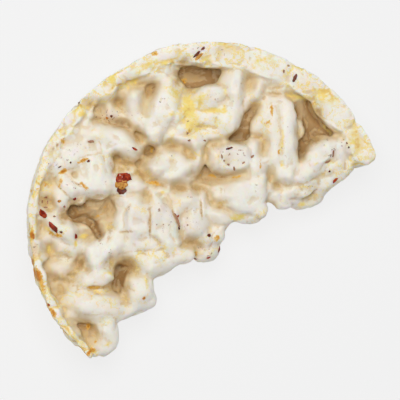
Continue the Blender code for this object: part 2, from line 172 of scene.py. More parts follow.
TOP_GRAINS = table(
    Grain,
    # Northern cluster, two fat lobes round a hollow heart.
    (-12.6, 29.3, 14.6, 8.2, 75, 15.4), (-10.6, 35.2, 7, 6.2, 60, 14.6), (-5, 29.5, 11, 6, 88, 13.8),
    (0, 33.5, 8.5, 5.5, 5, 15.2), (6.5, 35.5, 10.5, 6, 87, 15.3), (4.5, 27.5, 10, 6.4, 75, 15),
    (-1, 27.5, 6.5, 5.5, 0, 14.2), (-4, 21.5, 6, 5, 70, 14.2), (-1.2, 23.2, 4.5, 4, 0, 13.8),
    # North-western grains behind the rim.
    (-19.8, 32.8, 9.4, 6.2, 103, 14.4), (-18.6, 26.6, 6, 4.6, -50, 13.6), (-27, 29.2, 9, 6.2, -10, 12.6),
    (-17, 39, 5, 3.5, 20, 13.5),
    # Eastern arch and the long twin grain.
    (13, 34.2, 7.5, 5.5, 80, 13.6), (14.3, 27.5, 9.5, 5, 70, 14.2), (18, 32, 8.5, 4.5, 5, 13.6),
    (16.5, 22, 16.5, 4.5, 92, 14.8), (20.5, 23, 20, 4.8, 93, 15.2), (19.5, 13.5, 8.5, 7.5, 80, 14.8),
    (23.2, 24.6, 5.6, 3.8, 85, 13), (28.5, 17.5, 12, 7.5, 52, 15.2), (25.5, 14, 6.5, 5.5, 40, 14.6),
    (34.5, 19, 9, 5.5, 95, 14.2), (31.5, 12, 7, 5.5, 40, 12.8), (23.5, 11, 5, 4, -15, 13.4),
    (17.8, 7.8, 6.5, 4.4, 10, 12.6), (26.5, 6.5, 8.5, 4.5, 20, 9), (36, 14.5, 5, 3, 50, 8),
    (29.5, 10, 6, 4.5, 30, 10.5),
    # Middle, west of the round pressed grain.
    (-13.9, 14.3, 7.4, 7, 80, 14.4), (-7.4, 14.4, 10.6, 7.8, 22, 14.4), (-9.5, 17.9, 8.6, 5.2, 8, 13.5),
    (-2.9, 17, 4.8, 3.8, 60, 13), (-2.2, 21, 3, 2.6, 0, 13.8),
    # Small fillings of the clefts, all over the top.
    (-45.4, -6.6, 5, 3.4, 80, 15.2), (-44.2, 6.8, 4, 3, 80, 13.8), (-35, 4.1, 5, 3, 32, 9.4),
    (-27.4, 5.6, 3.4, 2.6, 0, 10), (-4.4, 42.7, 8, 3, 2, 14.6), (-16.4, -2.1, 5, 4, 0, 14.6),
    (4.4, 14, 3.4, 2.6, 0, 13.8), (13.7, 14, 4.6, 3, 80, 14), (-13.4, 20.8, 3.4, 2.6, 0, 12.8),
    (12.4, 24.2, 4, 3, 0, 13.8), (17.4, 33, 7, 3.4, -6, 14.2), (15.4, 9.6, 3.6, 3, 0, 13.6),
    (24.4, 8.4, 5, 3, 10, 12.6), (32.4, 15.2, 4.4, 3.4, 60, 14.2), (-44.4, -7.8, 5, 4, 80, 14.4),
    (-12.6, 9.2, 4.4, 3, -5, 14), (13.4, 3.2, 4, 3.4, 60, 14), (7.5, 29.6, 3.8, 3, 80, 13.6),
    (-26.9, 15, 4, 3.6, 0, 14.4), (-22.8, 37, 4, 3, 20, 14.6), (11.9, 25.4, 4.6, 3, 80, 13.4),
    (-9, -4.8, 3.6, 3, 0, 14),
    # The round pressed grain, and what lies round it.
    (6.1, 16.9, 11.4, 8.2, 14, 15.8), (6, 15.6, 9.5, 6.8, 90, 13.8), (12, 19.8, 6, 4.6, 100, 14.6),
    (0.8, 17.4, 7, 3.2, 88, 13.8), (12.2, 15.5, 8, 6.2, 70, 14.8), (9, 7.5, 12, 10.5, 0, 15),
    (10, 2.8, 8.5, 5, 0, 12), (2, 7.8, 6, 4.4, 85, 12.2), (2.5, 2.5, 8, 6, -10, 12.6),
    (-7, 5.5, 9.5, 9, -20, 13.6), (-4.5, -1, 8.5, 7, 70, 14.2), (-2, 5.5, 7, 3.5, 88, 13),
    (-18.5, 0.5, 12.5, 7, 98, 15.4), (-12.5, 0.5, 15.5, 8, 108, 15.6), (-0.7, -7, 7, 6, 15, 10.6),
    (1.5, -2.7, 5.5, 5, 60, 12), (-8.2, -8.3, 9, 4.8, 12, 13.4), (-14, -10, 10, 7.5, 20, 13.8),
    (-19, 10.5, 7, 6.5, -40, 14.2), (-21, 5.5, 8.5, 5, -15, 13.6), (-23, 0.5, 8, 4.5, 88, 13),
    (-21, -6.5, 9, 7, 60, 13),
    # West, round the big white grain.
    (-29.9, 12.2, 11.8, 10.2, 95, 15.2), (-36, 17.5, 11.5, 8.5, 25, 15.3), (-36.5, 9, 10, 5, -48, 14.9),
    (-39.5, 7, 8, 5, -58, 14.4), (-28, 22.5, 19, 7.5, -12, 14.7), (-20.5, 19, 6, 5.5, 0, 14),
    (-40.2, 0.2, 14.5, 5.8, -39, 15),
    # South-western horn.
    (-25.8, -5.7, 9, 6, 78, 14.2), (-30.2, -8.8, 9, 6, 93, 14.6), (-30, -14.2, 9.5, 5, 2, 14.6),
    (-30.5, -21, 16, 8.5, -4, 14.7), (-27, -28, 11, 6, 88, 13.4), (-39.4, -6.6, 11.5, 6, -5, 13.2),
    (-38.6, -11.8, 10, 5.6, 0, 12.4), (-36, -17.5, 7, 5.5, 80, 12), (-18.8, -17.3, 10.5, 8, 95, 13.8),
    (-17, -10.3, 6, 4.8, 0, 13.4), (-16.5, -20.5, 5.5, 4, 20, 11.6), (-21.5, -22, 6.5, 4.8, 30, 12.6),
    (-33.4, -23.8, 10.5, 4.4, -12, 13.6), (-29.5, -32.3, 6.5, 4, 30, 12),
    # Low grains at the bottom of the western pocket.
    (-30, 3.9, 8, 4.6, 10, 10.8), (-27.2, 0.3, 5.6, 4.6, 75, 11.4),
)

# Small grains that close the gaps between the others.
GAP_GRAINS = table(
    Grain,
    (-42.3, 13.2, 7.5, 5, 80, 14.2), (-43.8, 9.8, 6.5, 4.4, 85, 13.6), (-24.3, 31.4, 6.5, 4.6, 65, 11),
    (-16.4, 36, 5, 4, 70, 11), (-32, -29.2, 8, 5, -45, 10.4), (-14.4, -6, 6, 4.6, 20, 13.8),
    (-39.8, -16.2, 5.5, 4.5, -70, 10.6), (10.2, 38, 5.5, 4.5, 20, 11.4), (17.8, 36.4, 8.2, 4.8, -12, 14.8),
    (15.3, 12.8, 4.5, 4, 0, 12.6), (9.6, 30.5, 5.5, 4.5, 80, 10.2), (-24, 15.3, 3.8, 3.4, 0, 11.4),
    (-21.2, 14.2, 4.4, 3.2, -20, 12.6), (-23.6, 10.3, 7.5, 4, 85, 13.4), (-44.8, 3, 5.5, 3.6, -70, 14.2),
    (-43.2, -4.5, 5, 4.2, 80, 13.4), (21.4, 35.4, 5, 4.4, -30, 13.6), (22.2, 7, 5.5, 4.2, -25, 10.2),
    (-14.4, 25, 7.5, 6, 80, 15), (-6.4, 24.4, 6, 4.6, 20, 14), (-4, 10.4, 8, 3.6, -8, 10.4),
    (-14.4, 39.3, 7.8, 5.2, 18, 14.5), (-18.4, 37.6, 4.4, 3.4, 100, 13.2),
    (-27.2, 33.4, 6.6, 4.4, 38, 14.4), (-31.8, 27.3, 4.6, 3.8, 50, 14.4), (-29.8, 29.2, 4.4, 3.4, 90, 12.4),
    (-22.8, 28.6, 4.2, 3.2, -60, 12), (-8.2, 35.4, 3.8, 3, 60, 13.4), (-8.6, 27.6, 5, 3.4, 60, 14.4),
    (-0.4, 31.2, 5.5, 3, 5, 14.6), (-0.4, 42, 8, 3, 0, 14.2), (3.7, 37.6, 4.2, 3, 80, 13),
    (9.6, 32, 5.6, 4.2, 85, 13.4), (12.1, 34.6, 6.6, 5, 80, 14.6), (24.2, 30.2, 6, 4.2, 80, 10.8),
    (24.8, 19.4, 5.5, 4, 90, 10.4), (37, 15.8, 4.6, 3.6, 40, 14), (34.4, 13.6, 5, 4, 40, 13.6),
    (21.4, 8.9, 5.2, 3.8, 10, 13.4), (12.8, 3.2, 4.8, 3.8, 60, 13.2), (19.5, 5.8, 5, 3.8, 10, 11.8),
    (-24.6, -23.4, 4.2, 3.2, -30, 12.6), (-36, -27.8, 8, 3, -52, 13.4), (-31.4, -31, 4, 2.6, -20, 11.4),
    (-40.4, 14.8, 6, 4.4, 75, 15.2), (-36.6, 23.4, 7.6, 4.8, 38, 14.3), (-32.8, -1.3, 5, 2.6, -35, 12.2),
    (-33.4, -3.4, 3.4, 2.8, 0, 12.8), (-44.6, -1.2, 4, 3, 80, 13.8), (-34.4, 2.6, 5, 3.4, 20, 10.2),
    (-16.8, -4.9, 6, 4.4, 40, 13.8), (-26.4, -10.6, 6, 3.6, 84, 12.8), (-27.4, -16.6, 4, 3.2, 0, 11.6),
    (-21.2, -18.6, 6, 3.2, 96, 12.8), (-1.4, -4.3, 4.4, 3.4, 30, 12.8), (-9.6, 22.8, 5.6, 3.4, 10, 13.6),
    (-7.8, 21.6, 4, 3, 10, 13.8), (-14.8, 22, 4.2, 3, -30, 14.4), (-27.6, 18.6, 5, 3.2, -20, 14),
    (-34.6, -5.2, 4, 3.4, 40, 13.4), (26.4, 10.4, 4.4, 3.2, 10, 12.8), (2.6, 21.7, 4, 3, 10, 12.9),
    (0.6, 22.9, 3.6, 3, 0, 13.8), (-11.4, 11.7, 4, 3.4, 0, 13.8), (13.6, 11, 4, 3.6, 80, 14.6),
    (-8.7, -3.2, 3.6, 3, 80, 14), (-9.6, 40.6, 4, 3, 20, 12.8), (-6, 43, 5, 3, -10, 14.2),
    (-36.2, -7.8, 4.6, 3.2, 0, 13.2), (-18.4, 38.2, 4, 2.8, 20, 14.8), (23.3, 33.7, 4, 3, -20, 12.4),
)

# Broad smooth lobes that floor the open pockets.
POCKET_FLOORS = table(
    Grain,
    (28.5, 27, 15, 9.5, -58, 9), (-3, 38.6, 14, 8, 0, 8.6), (9.3, 26, 12, 6.5, 65, 10),
    (-33, -27.5, 8.5, 5.5, -45, 8.8),
)

# The broad grain pressed on the mould floor under the middle of the piece.
FOOT = Grain(-6.0, 9.0, 14.0, 11.0, 30, 6.4)
FOOT_HEIGHT = 7.4

# The open pockets of the top.
POCKETS = table(
    Oval,
    (-3, 38.3, 13, 6, 0), (9.5, 25.5, 11, 4.5, 65), (27, 27.5, 13, 8, -58), (24, 20.5, 8, 3.5, 80),
    (-31, 2, 14, 9, -12), (-22.2, -12.6, 9, 4.5, 105), (-33, -28.5, 9, 5, -35), (-30, 30, 4, 3, 0),
    (-24.5, 32.5, 4, 3, 0), (-16, 33, 8, 2.5, 70), (-4.5, -5.5, 3, 2.5, 0),
)

# The open pockets of the underside.
BASE_POCKETS = table(
    Oval,
    (-25, 17, 11, 6, 30), (9, 26, 9, 5, -20), (-31, -14, 8, 5, 60), (22, 14, 8, 5, 10),
    (-13, -4, 8, 4, -40), (-9, 32, 9, 4.5, 15),
)

# Mortar grains fill up between the top ones; under them come the middle, the packing over the
# underside, and the grains of the underside itself.
MORTAR = Layer(tops=(9.6, 11.6), pitch=5.0, height=6.0, margin=1.2, pockets=POCKETS)
MIDDLE = Layer(tops=(6.4, 8.6), pitch=6.2, height=5.0, margin=0.8)
PACKING = Layer(tops=(6.6, 8.0), pitch=5.6, height=4.6, margin=1.0, pockets=BASE_POCKETS)
UNDERSIDE = Layer(tops=(5.0, 7.4), pitch=7.2, height=6.6, margin=0.6, pockets=BASE_POCKETS)

# The broken side, from the eastern tip to the southern one: turning points of its outline.
BROKEN_SIDE = ((43.0, 16.5), (37.0, 17.0), (36.5, 14.5), (33.0, 9.5), (28.0, 5.5), (24.0, 4.0), (20.5, 5.0),
               (14.5, 3.5), (13.5, 0.5), (6.0, 0.5), (4.0, -1.5), (3.0, -6.5), (0.5, -10.0),
               (-3.0, -11.0), (-8.5, -9.5), (-13.5, -14.0), (-15.5, -16.0), (-14.5, -19.5),
               (-17.0, -22.0), (-20.5, -23.0), (-24.0, -25.0), (-24.0, -31.0), (-27.0, -34.0),
               (-31.0, -35.5))

# Marks on the top, and painted shade. The valley-shade patches are painted shade in the creases and pockets
# between grains; they are also pressed into the skin as narrow valleys.
PATCHES = {
    PatchKind.YELLOW: table(
        Patch,
        (-6, 29.5, 9, 5, 85, 1), (-5, 25, 5.5, 4, 80, 1), (-9.6, 33.8, 8, 2.8, 118, 0.7),
        (-10.6, 28, 6, 1.4, 10, 0.6), (-2.5, 32.2, 4.5, 3, 40, 0.7), (0.2, 29.4, 8, 1.2, 2, 0.9),
        (3.3, 29.6, 2.6, 2.6, 60, 0.7), (-1, 25, 6, 1, 0, 0.8), (3.6, 34, 3, 1.2, 90, 0.5),
        (5, 27.5, 4, 1.4, 90, 0.4), (-16, 29, 4.5, 3, 80, 0.3), (-10, 22.5, 4, 2.6, 60, 0.4),
        (12.8, 42.4, 3.8, 2.2, 12, 1), (5.9, 43, 1.8, 1.6, 0, 0.5), (11.2, 40.9, 1.8, 1.6, 60, 0.8),
        (29.5, 33.4, 4.5, 3, 50, 0.7), (23.3, 33.2, 6.5, 1.2, -15, 0.9), (26, 36.5, 2.5, 2, 0, 0.5),
        (7.5, 1.5, 4.5, 1.6, 5, 1), (35.5, 26, 3.5, 1.4, 20, 0.6), (37, 21, 3, 1.4, 30, 0.7),
        (39.5, 17.5, 5, 1, -10, 0.6), (24.5, 5, 2.5, 1.8, 0, 0.8), (29, 7.5, 2.5, 2, 30, 0.5),
        (18.5, 20.5, 11, 1, 90, 0.6), (18.5, 15.5, 3.5, 1, 90, 0.6), (27.5, 15.5, 1.6, 1, 0, 0.8),
        (30, 20, 1.4, 1.2, 0, 0.6), (27.5, 17.5, 1.6, 1, 0, 0.6), (-16.5, 41, 5.5, 1.4, 15, 0.8),
        (-18.8, 39, 2.2, 1.4, 30, 0.8), (-19.8, 36.8, 3, 1.2, 20, 0.9), (-12, 41.4, 3.6, 1, 25, 0.8),
        (-22.5, 39.2, 3, 0.8, -20, 0.5), (-25.8, 36.8, 3.4, 1.6, 80, 1), (-27.2, 33.2, 2, 0.9, 10, 0.7),
        (-33.8, 27.9, 2.4, 1.8, 20, 1), (-35.8, 26.4, 1.2, 0.8, 0, 0.7), (-36.1, 23, 2, 0.9, 10, 0.7),
        (-30.6, 24, 1.2, 1, 0, 0.6), (-41, 22.4, 4.5, 0.8, 66, 0.5), (-44.5, 16.5, 3, 1.2, 80, 0.6),
        (-44.5, 13.5, 2, 1.2, 80, 0.5), (-34.9, -5.5, 1.7, 1, -65, 1), (-42, -1.9, 3, 0.7, -48, 0.8),
        (-41.9, -7, 1.8, 2.8, 0, 0.7), (-33, -3.4, 2, 1.2, 20, 0.9), (-33.8, -18.5, 2, 1, 10, 0.8),
        (-16.7, -15.5, 5.5, 0.9, -82, 0.8), (-26.6, -31.4, 2.4, 1, 20, 0.7), (-16, -3, 4, 1.4, 0, 0.2),
        (-19, -9, 3.5, 2, 0, 0.4), (-11, -4.5, 4.5, 1, 20, 0.4), (11.5, 10, 8, 3.2, 10, 0.2),
        (-47.4, -6, 9, 1, -82, 0.3), (-12.4, 8.1, 1.4, 1, 0, 0.8), (0.2, -1.7, 2.6, 0.8, -60, 0.6),
        (-37.7, 23.7, 2.8, 0.8, 88, 0.6), (-26.2, -13, 1.2, 1, 0, 0.9), (-43.8, -17.5, 6, 1.6, -66, 0.8),
        (-38, -28.6, 8, 1.2, -52, 0.4),
    ),
    PatchKind.ORANGE: table(
        Patch,
        (-5.4, 23.7, 2.6, 1.8, 20, 0.5), (-7.1, 28.3, 2, 1.4, 0, 0.4), (6.5, 46.9, 2.6, 0.8, -6, 0.4),
        (31.7, 30.5, 2.2, 1.3, 40, 0.8), (16, 30, 3, 0.8, 85, 0.8), (18, 18.5, 1.5, 1, 0, 0.7),
        (-14.8, 43.8, 1.6, 1.2, 0, 0.7), (-35.1, 31, 1.8, 0.9, 10, 0.6), (-38.5, 21.1, 1.2, 1.4, 0, 0.6),
        (-42.6, 18.5, 1.5, 1, 70, 0.5), (-38.4, 13.2, 2.4, 0.9, 25, 0.8), (-33.2, 16, 2.6, 0.8, 22, 0.8),
        (-33.2, 9.6, 3.4, 1, -50, 1), (-39, 10.5, 3, 0.8, 80, 0.5), (-43, 10, 1, 1.6, 80, 0.6),
        (-45, 8.7, 1, 0.8, 0, 0.6), (-46.6, 8.5, 1.2, 0.8, 0, 0.8), (-47.8, 4.8, 9, 0.8, 84, 0.5),
        (-46.3, -3.3, 2.2, 1, -88, 1), (-41.2, -2.7, 2.2, 0.8, -30, 0.7), (-39.6, -3.3, 1.8, 0.8, -15, 0.9),
        (27.3, 31.2, 1.3, 1.1, 0, 0.7), (-46.1, -10.2, 3, 0.9, -95, 1), (-46.5, -12, 1.6, 1.2, -60, 0.9),
        (-47.3, -9.2, 1.8, 0.7, -80, 0.7), (-45.2, -13, 3.6, 1.8, -60, 1.1),
        (-44.3, -15.2, 2.6, 0.9, -62, 0.7), (-45.2, -11, 1, 0.7, 0, 0.6), (-43.6, -16.6, 3, 1.2, -66, 0.6),
        (-42.4, -21.2, 1.4, 1.1, -62, 1), (-41, -22.9, 2.6, 1.2, -60, 0.9), (-38.4, -28, 3, 1.2, -50, 0.6),
        (-35.5, -30, 2.5, 1.2, -45, 0.4), (-31.3, -33, 2.8, 0.8, 25, 1), (-31.9, -33.7, 1.2, 1, 0, 0.9),
        (-33.2, -32.1, 1.6, 1, -20, 0.6), (-29.8, -30.6, 1.4, 1, 60, 0.6), (-31.4, -26.6, 1, 1.8, -15, 0.6),
        (-29.8, -16.5, 7, 0.5, 1, 0.5), (-17.4, -19.4, 1.1, 0.9, 0, 0.8), (-14.9, 19.2, 1, 2, 0, 0.6),
        (-2.6, 12.6, 2.4, 0.5, 10, 0.5), (0.8, 12.6, 2.6, 0.5, -20, 0.6), (-26.9, 4.6, 0.8, 1.6, 0, 0.5),
        (-28.4, 2.3, 3, 0.5, 25, 0.5), (-14.6, 10.3, 4.5, 0.8, -15, 0.7), (-3.7, -7.8, 1.2, 1, 0, 0.5),
        (1.5, -3.8, 1.7, 1.3, 0, 0.6), (-6.3, 37.4, 2, 1.2, 30, 0.6), (13, 15.5, 3, 0.8, 80, 0.4),
        (6.8, 12.1, 3.4, 0.5, 8, 0.6), (15.8, 28.2, 1.6, 0.6, -70, 0.6), (14.9, 26.5, 2.4, 0.5, 32, 0.6),
    ),
    # Painted shade in the creases and pockets between grains, also pressed into the skin as valleys.
    PatchKind.TAN: table(
        Patch,
        # Round the pair of grains and down to the big white one.
        (-24.2, 25.7, 3.6, 1, -14, 1), (-21.2, 24.4, 3.2, 1, -38, 0.8), (-19, 22.3, 3.8, 1.4, -62, 1),
        (-15.7, 18.4, 3, 2.8, 20, 1.3), (-17.2, 17, 2.6, 1.6, 60, 0.9), (-18.4, 15.6, 4.5, 1.7, 75, 1),
        (-17.8, 12.8, 4.6, 1.7, -50, 1.3), (-22.2, 15.2, 3.6, 1.4, -10, 1), (-14.8, 10.6, 4.4, 1, -28, 1),
        (-21.5, 15.6, 5.6, 1.4, -8, 1.2), (-17.6, 29, 4.6, 0.9, 86, 0.5), (-24.4, 16.4, 2, 1.2, -30, 0.9),
        (-25.1, 14.4, 3.4, 1, -60, 0.8), (-19.4, 12.9, 3.2, 1.6, 20, 0.8), (-10, 20.1, 3.8, 1.3, -6, 1.2),
        (-16.4, 7.2, 4, 1, 60, 0.6), (-24.9, 5.2, 5, 1.4, 80, 0.6), (-26.3, -2.2, 5, 1.2, 80, 0.7),
        # South of the pair, up to the round pressed grain.
        (-7.8, 9.1, 4.6, 1.9, -5, 1.3), (-3, 9.2, 6.4, 1.7, -4, 1), (-0.8, 17, 5, 0.8, 90, 0.7),
        (-0.6, 13.6, 1.8, 1.5, 90, 1.1), (1.7, 12.2, 4.4, 1.2, -16, 1.1), (-1, 11.9, 4.4, 1.8, 0, 1.7),
        (4.9, 12.1, 5.5, 1, 4, 0.9), (-3.2, 12.3, 4.4, 1, 10, 0.8), (-5.3, 17.7, 2.8, 0.8, -25, 1),
        (-6.3, 18.9, 2.4, 1, -80, 1), (-0.5, 7.4, 4.5, 1, 88, 0.9), (2.9, 4.6, 2.2, 1.4, 10, 1),
        (0.6, 5.5, 2.6, 0.8, -30, 0.8), (4.4, 3.5, 3.4, 0.9, -30, 0.8),
        # Round the eastern grains.
        (7.6, 21.8, 3.6, 1.6, 8, 1), (12.2, 22.5, 3.8, 0.9, -4, 0.8), (13.9, 19.8, 4.6, 1.1, 86, 1),
        (11.7, 30.2, 3, 1, 65, 0.7), (-32.6, -3.6, 3, 1.6, 0, 0.9), (-41.8, 3.3, 2.4, 1.3, -30, 0.8),
        (-36.8, -14.7, 4.2, 2.2, 10, 0.9), (-34.4, -11.6, 2.4, 1.4, 20, 0.8), (-5, 38.2, 7, 2.6, 0, 1.5),
        (-7.3, 41.9, 3.2, 1.2, 0, 0.9), (14, 33.4, 3, 0.7, 40, 0.5), (16.8, 34, 5, 0.9, -2, 0.9),
        (28.6, 28.9, 5.2, 1.4, -58, 1.1), (23.6, 9, 6, 2.4, -8, 0.45), (-12.9, 9.8, 4, 1.3, -10, 1.1),
        (-12.8, 7.8, 2.4, 1.6, 0, 0.6), (20.9, 33.4, 2.4, 0.8, -30, 0.7), (27.8, 22, 5.2, 2, 35, 1.1),
        (22.9, 23.8, 3.2, 0.7, 90, 0.6), (23.3, 18.8, 3.6, 1, -80, 0.8), (15.6, 12, 3.6, 1, 86, 0.9),
        (17.4, 10, 2.8, 1.1, -14, 0.9), (20.6, 9.9, 7, 0.9, -5, 0.7), (23, 7.6, 3, 1.2, -10, 0.5),
        (26.4, 8.8, 4, 1, 25, 0.4),
        # The clefts of the northern cluster.
        (-15.9, 34.2, 4.4, 1.6, 70, 1), (-18.5, 36.2, 5, 1.2, 4, 0.9), (-31, 30.5, 3.6, 1.4, -6, 1),
        (-28.6, 29.3, 2.2, 0.8, 85, 0.9), (-29.9, 26.9, 2.2, 0.8, -10, 0.9),
        (-23.6, 31.4, 2.4, 1.6, -60, 1), (-27.2, 26.4, 3.6, 0.7, -14, 0.7), (-5.6, 35.2, 4, 1.6, 90, 0.8),
        (-8.5, 37.2, 2, 3, 10, 0.9),
        # The western pocket and the two ovals south of it.
        (-37, 2.3, 3.4, 2.2, 30, 1.2), (-30.8, 6, 6, 1.4, 4, 0.9), (-28.6, 6.8, 4.5, 1, 3, 0.9),
        (-36.2, 0.9, 4.5, 1.3, -12, 1), (-38, 1.6, 2.8, 2, -10, 1.4), (-33.2, 1, 3.4, 0.9, -10, 0.8),
        (-30.4, 1.8, 4.4, 0.9, 2, 1), (-27.6, 2.9, 2.6, 0.9, 40, 1), (-26.6, 3.9, 4, 1.6, 84, 1.3),
        (-23.4, 30, 2.6, 1.4, -70, 0.6), (-33.4, 4.1, 1.3, 1.3, 0, 1.1), (-32.5, 1.6, 1.2, 0.8, 0, 1),
        (-29, -2.4, 4.4, 1, -46, 0.6), (-42.8, 5.3, 1.8, 2.6, 0, 0.8), (-41.9, -7.2, 1.9, 2.8, 0, 1.2),
        (-43.9, -0.8, 3.2, 0.9, 80, 0.9), (-41.8, 11.2, 2.4, 1.2, 80, 0.7), (-23, 14, 3, 1.2, -30, 1),
        (-34.6, 5.6, 3.6, 1.4, 30, 0.9), (1.2, 20.6, 2.6, 1.2, 20, 0.8), (-13.9, 18.6, 2, 2, 0, 0.8),
        (16.6, 35.4, 3.8, 1.4, 0, 0.9), (-14, 9.6, 2.6, 1.2, -10, 0.9), (-21.7, 14.3, 3, 1.2, -10, 1),
        (-11.4, 5.9, 2.4, 1, -60, 0.7), (-5.4, 34.8, 1.8, 1.6, 80, 0.9), (10.1, 36, 2.4, 1.4, 60, 0.8),
        (-38.4, -8.7, 7, 1.1, -3, 0.7), (-33.6, -10.4, 3.6, 1.7, 72, 1.3), (-32.3, -12.1, 2.2, 1, -60, 0.9),
        (-35.7, -13.2, 4, 1.4, 20, 1.1), (-40.3, -14.6, 1.9, 1.5, 0, 0.9),
        (-39.1, -17.2, 4.5, 1.5, 85, 0.8),
        # The southern side.
        (-4.8, -4.9, 4.6, 1.7, -8, 1.2), (-2.5, -5.3, 2.8, 1.3, -30, 0.9), (-7.3, -4.2, 2.6, 0.7, -75, 0.8),
        (-21.2, -11, 4, 2.2, -32, 1.4), (-23.6, -11.2, 3.2, 1.8, 0, 1), (-19.3, -12.6, 3, 1.1, -30, 0.8),
        (-25.4, -10.6, 2.4, 1, 90, 0.8), (-23.6, -17, 3.6, 1.8, -30, 1.1), (-22, -19.2, 3.6, 1.1, -75, 0.8),
        (-32.6, -25.6, 5, 1.2, -8, 0.5),
    ),
    PatchKind.GREY: table(
        Patch,
        (6.5, 17.5, 9, 6.2, 14, 0.9), (-12.5, 2, 13, 6.8, 18, 0.8), (-19, 0.5, 8, 6.2, 100, 0.7),
        (-5.5, 0.5, 7, 5.2, 20, 0.6), (34, 18.5, 7, 4.8, 0, 0.8), (-36, 10, 7, 3.2, -45, 0.5),
        (-37, 19, 9, 5.8, 25, 0.4), (-4, 45.5, 6, 4.2, 20, 0.6), (22.5, 37.5, 5, 3.6, 60, 0.6),
        (-26, 28.5, 6.5, 4.2, 0, 0.6), (-1, -7, 5, 3.2, 0, 0.7), (-45.6, -6.6, 3, 4.5, 0, 1),
        (-41, 15, 4, 3, 60, 0.9), (1.6, 44.8, 4, 2.8, 0, 0.9), (-3, 20.5, 5, 4.2, 0, 0.3),
    ),
    PatchKind.CRACK: table(
        Patch,
        (-16, 0.5, 11, 0.7, 92, 1), (-9.2, 1.4, 9.5, 0.7, -71, 1), (-2.4, 3.8, 6.5, 0.6, 93, 0.9),
        (-22, -2.2, 4.5, 0.6, 2, 0.9), (-29.5, -16.8, 7.5, 0.6, 2, 1), (-28.8, -23.6, 9, 0.5, 2, 0.5),
        (-34.8, 10.3, 6.5, 0.6, -40, 0.9), (-38.6, 8.6, 7.5, 0.6, -46, 0.9), (-36.5, 13.7, 5, 0.5, 20, 0.6),
        (-31.5, 17.4, 5, 0.5, 14, 0.7), (-38.2, 23.6, 6, 0.7, 86, 0.8), (-40, 19.8, 4, 0.6, 40, 0.9),
        (-34.2, 25, 7, 0.6, 3, 0.5), (-26.8, 26.2, 8.5, 0.7, -11, 1), (-15.4, 11, 5.5, 0.9, -28, 0.8),
        (-11, 9.8, 5, 0.7, -5, 0.4), (-6, 17.9, 4, 0.6, -15, 0.8), (4, 12.2, 8, 0.8, 0, 0.8),
        (2.8, 8.6, 5, 0.5, 86, 0.5), (30.5, 16.2, 3.5, 0.6, 32, 0.8), (36.3, 25.3, 5, 0.6, 14, 0.6),
        (-2.2, 29.4, 7, 0.6, 0, 0.5), (-1.8, 25, 7.5, 0.6, -3, 0.8), (5.5, 42, 3.5, 0.5, 90, 0.6),
        (18, 24.5, 15, 0.7, 91, 0.5), (-42.5, 17.5, 5.5, 0.7, 62, 0.6), (-43.6, 9.5, 5, 0.7, 80, 0.6),
        (13, 1.2, 6, 0.6, -20, 0.6), (4.6, 3.6, 4.5, 0.6, -35, 0.7), (-12.2, -6.6, 5.5, 0.6, 10, 0.6),
        (-9.8, -12.5, 4, 0.5, 40, 0.6), (-22.8, -17, 5.5, 0.7, -68, 0.8),
    ),
}

RED, DARK, BROWN, AMBER, ORANGE = HullTone
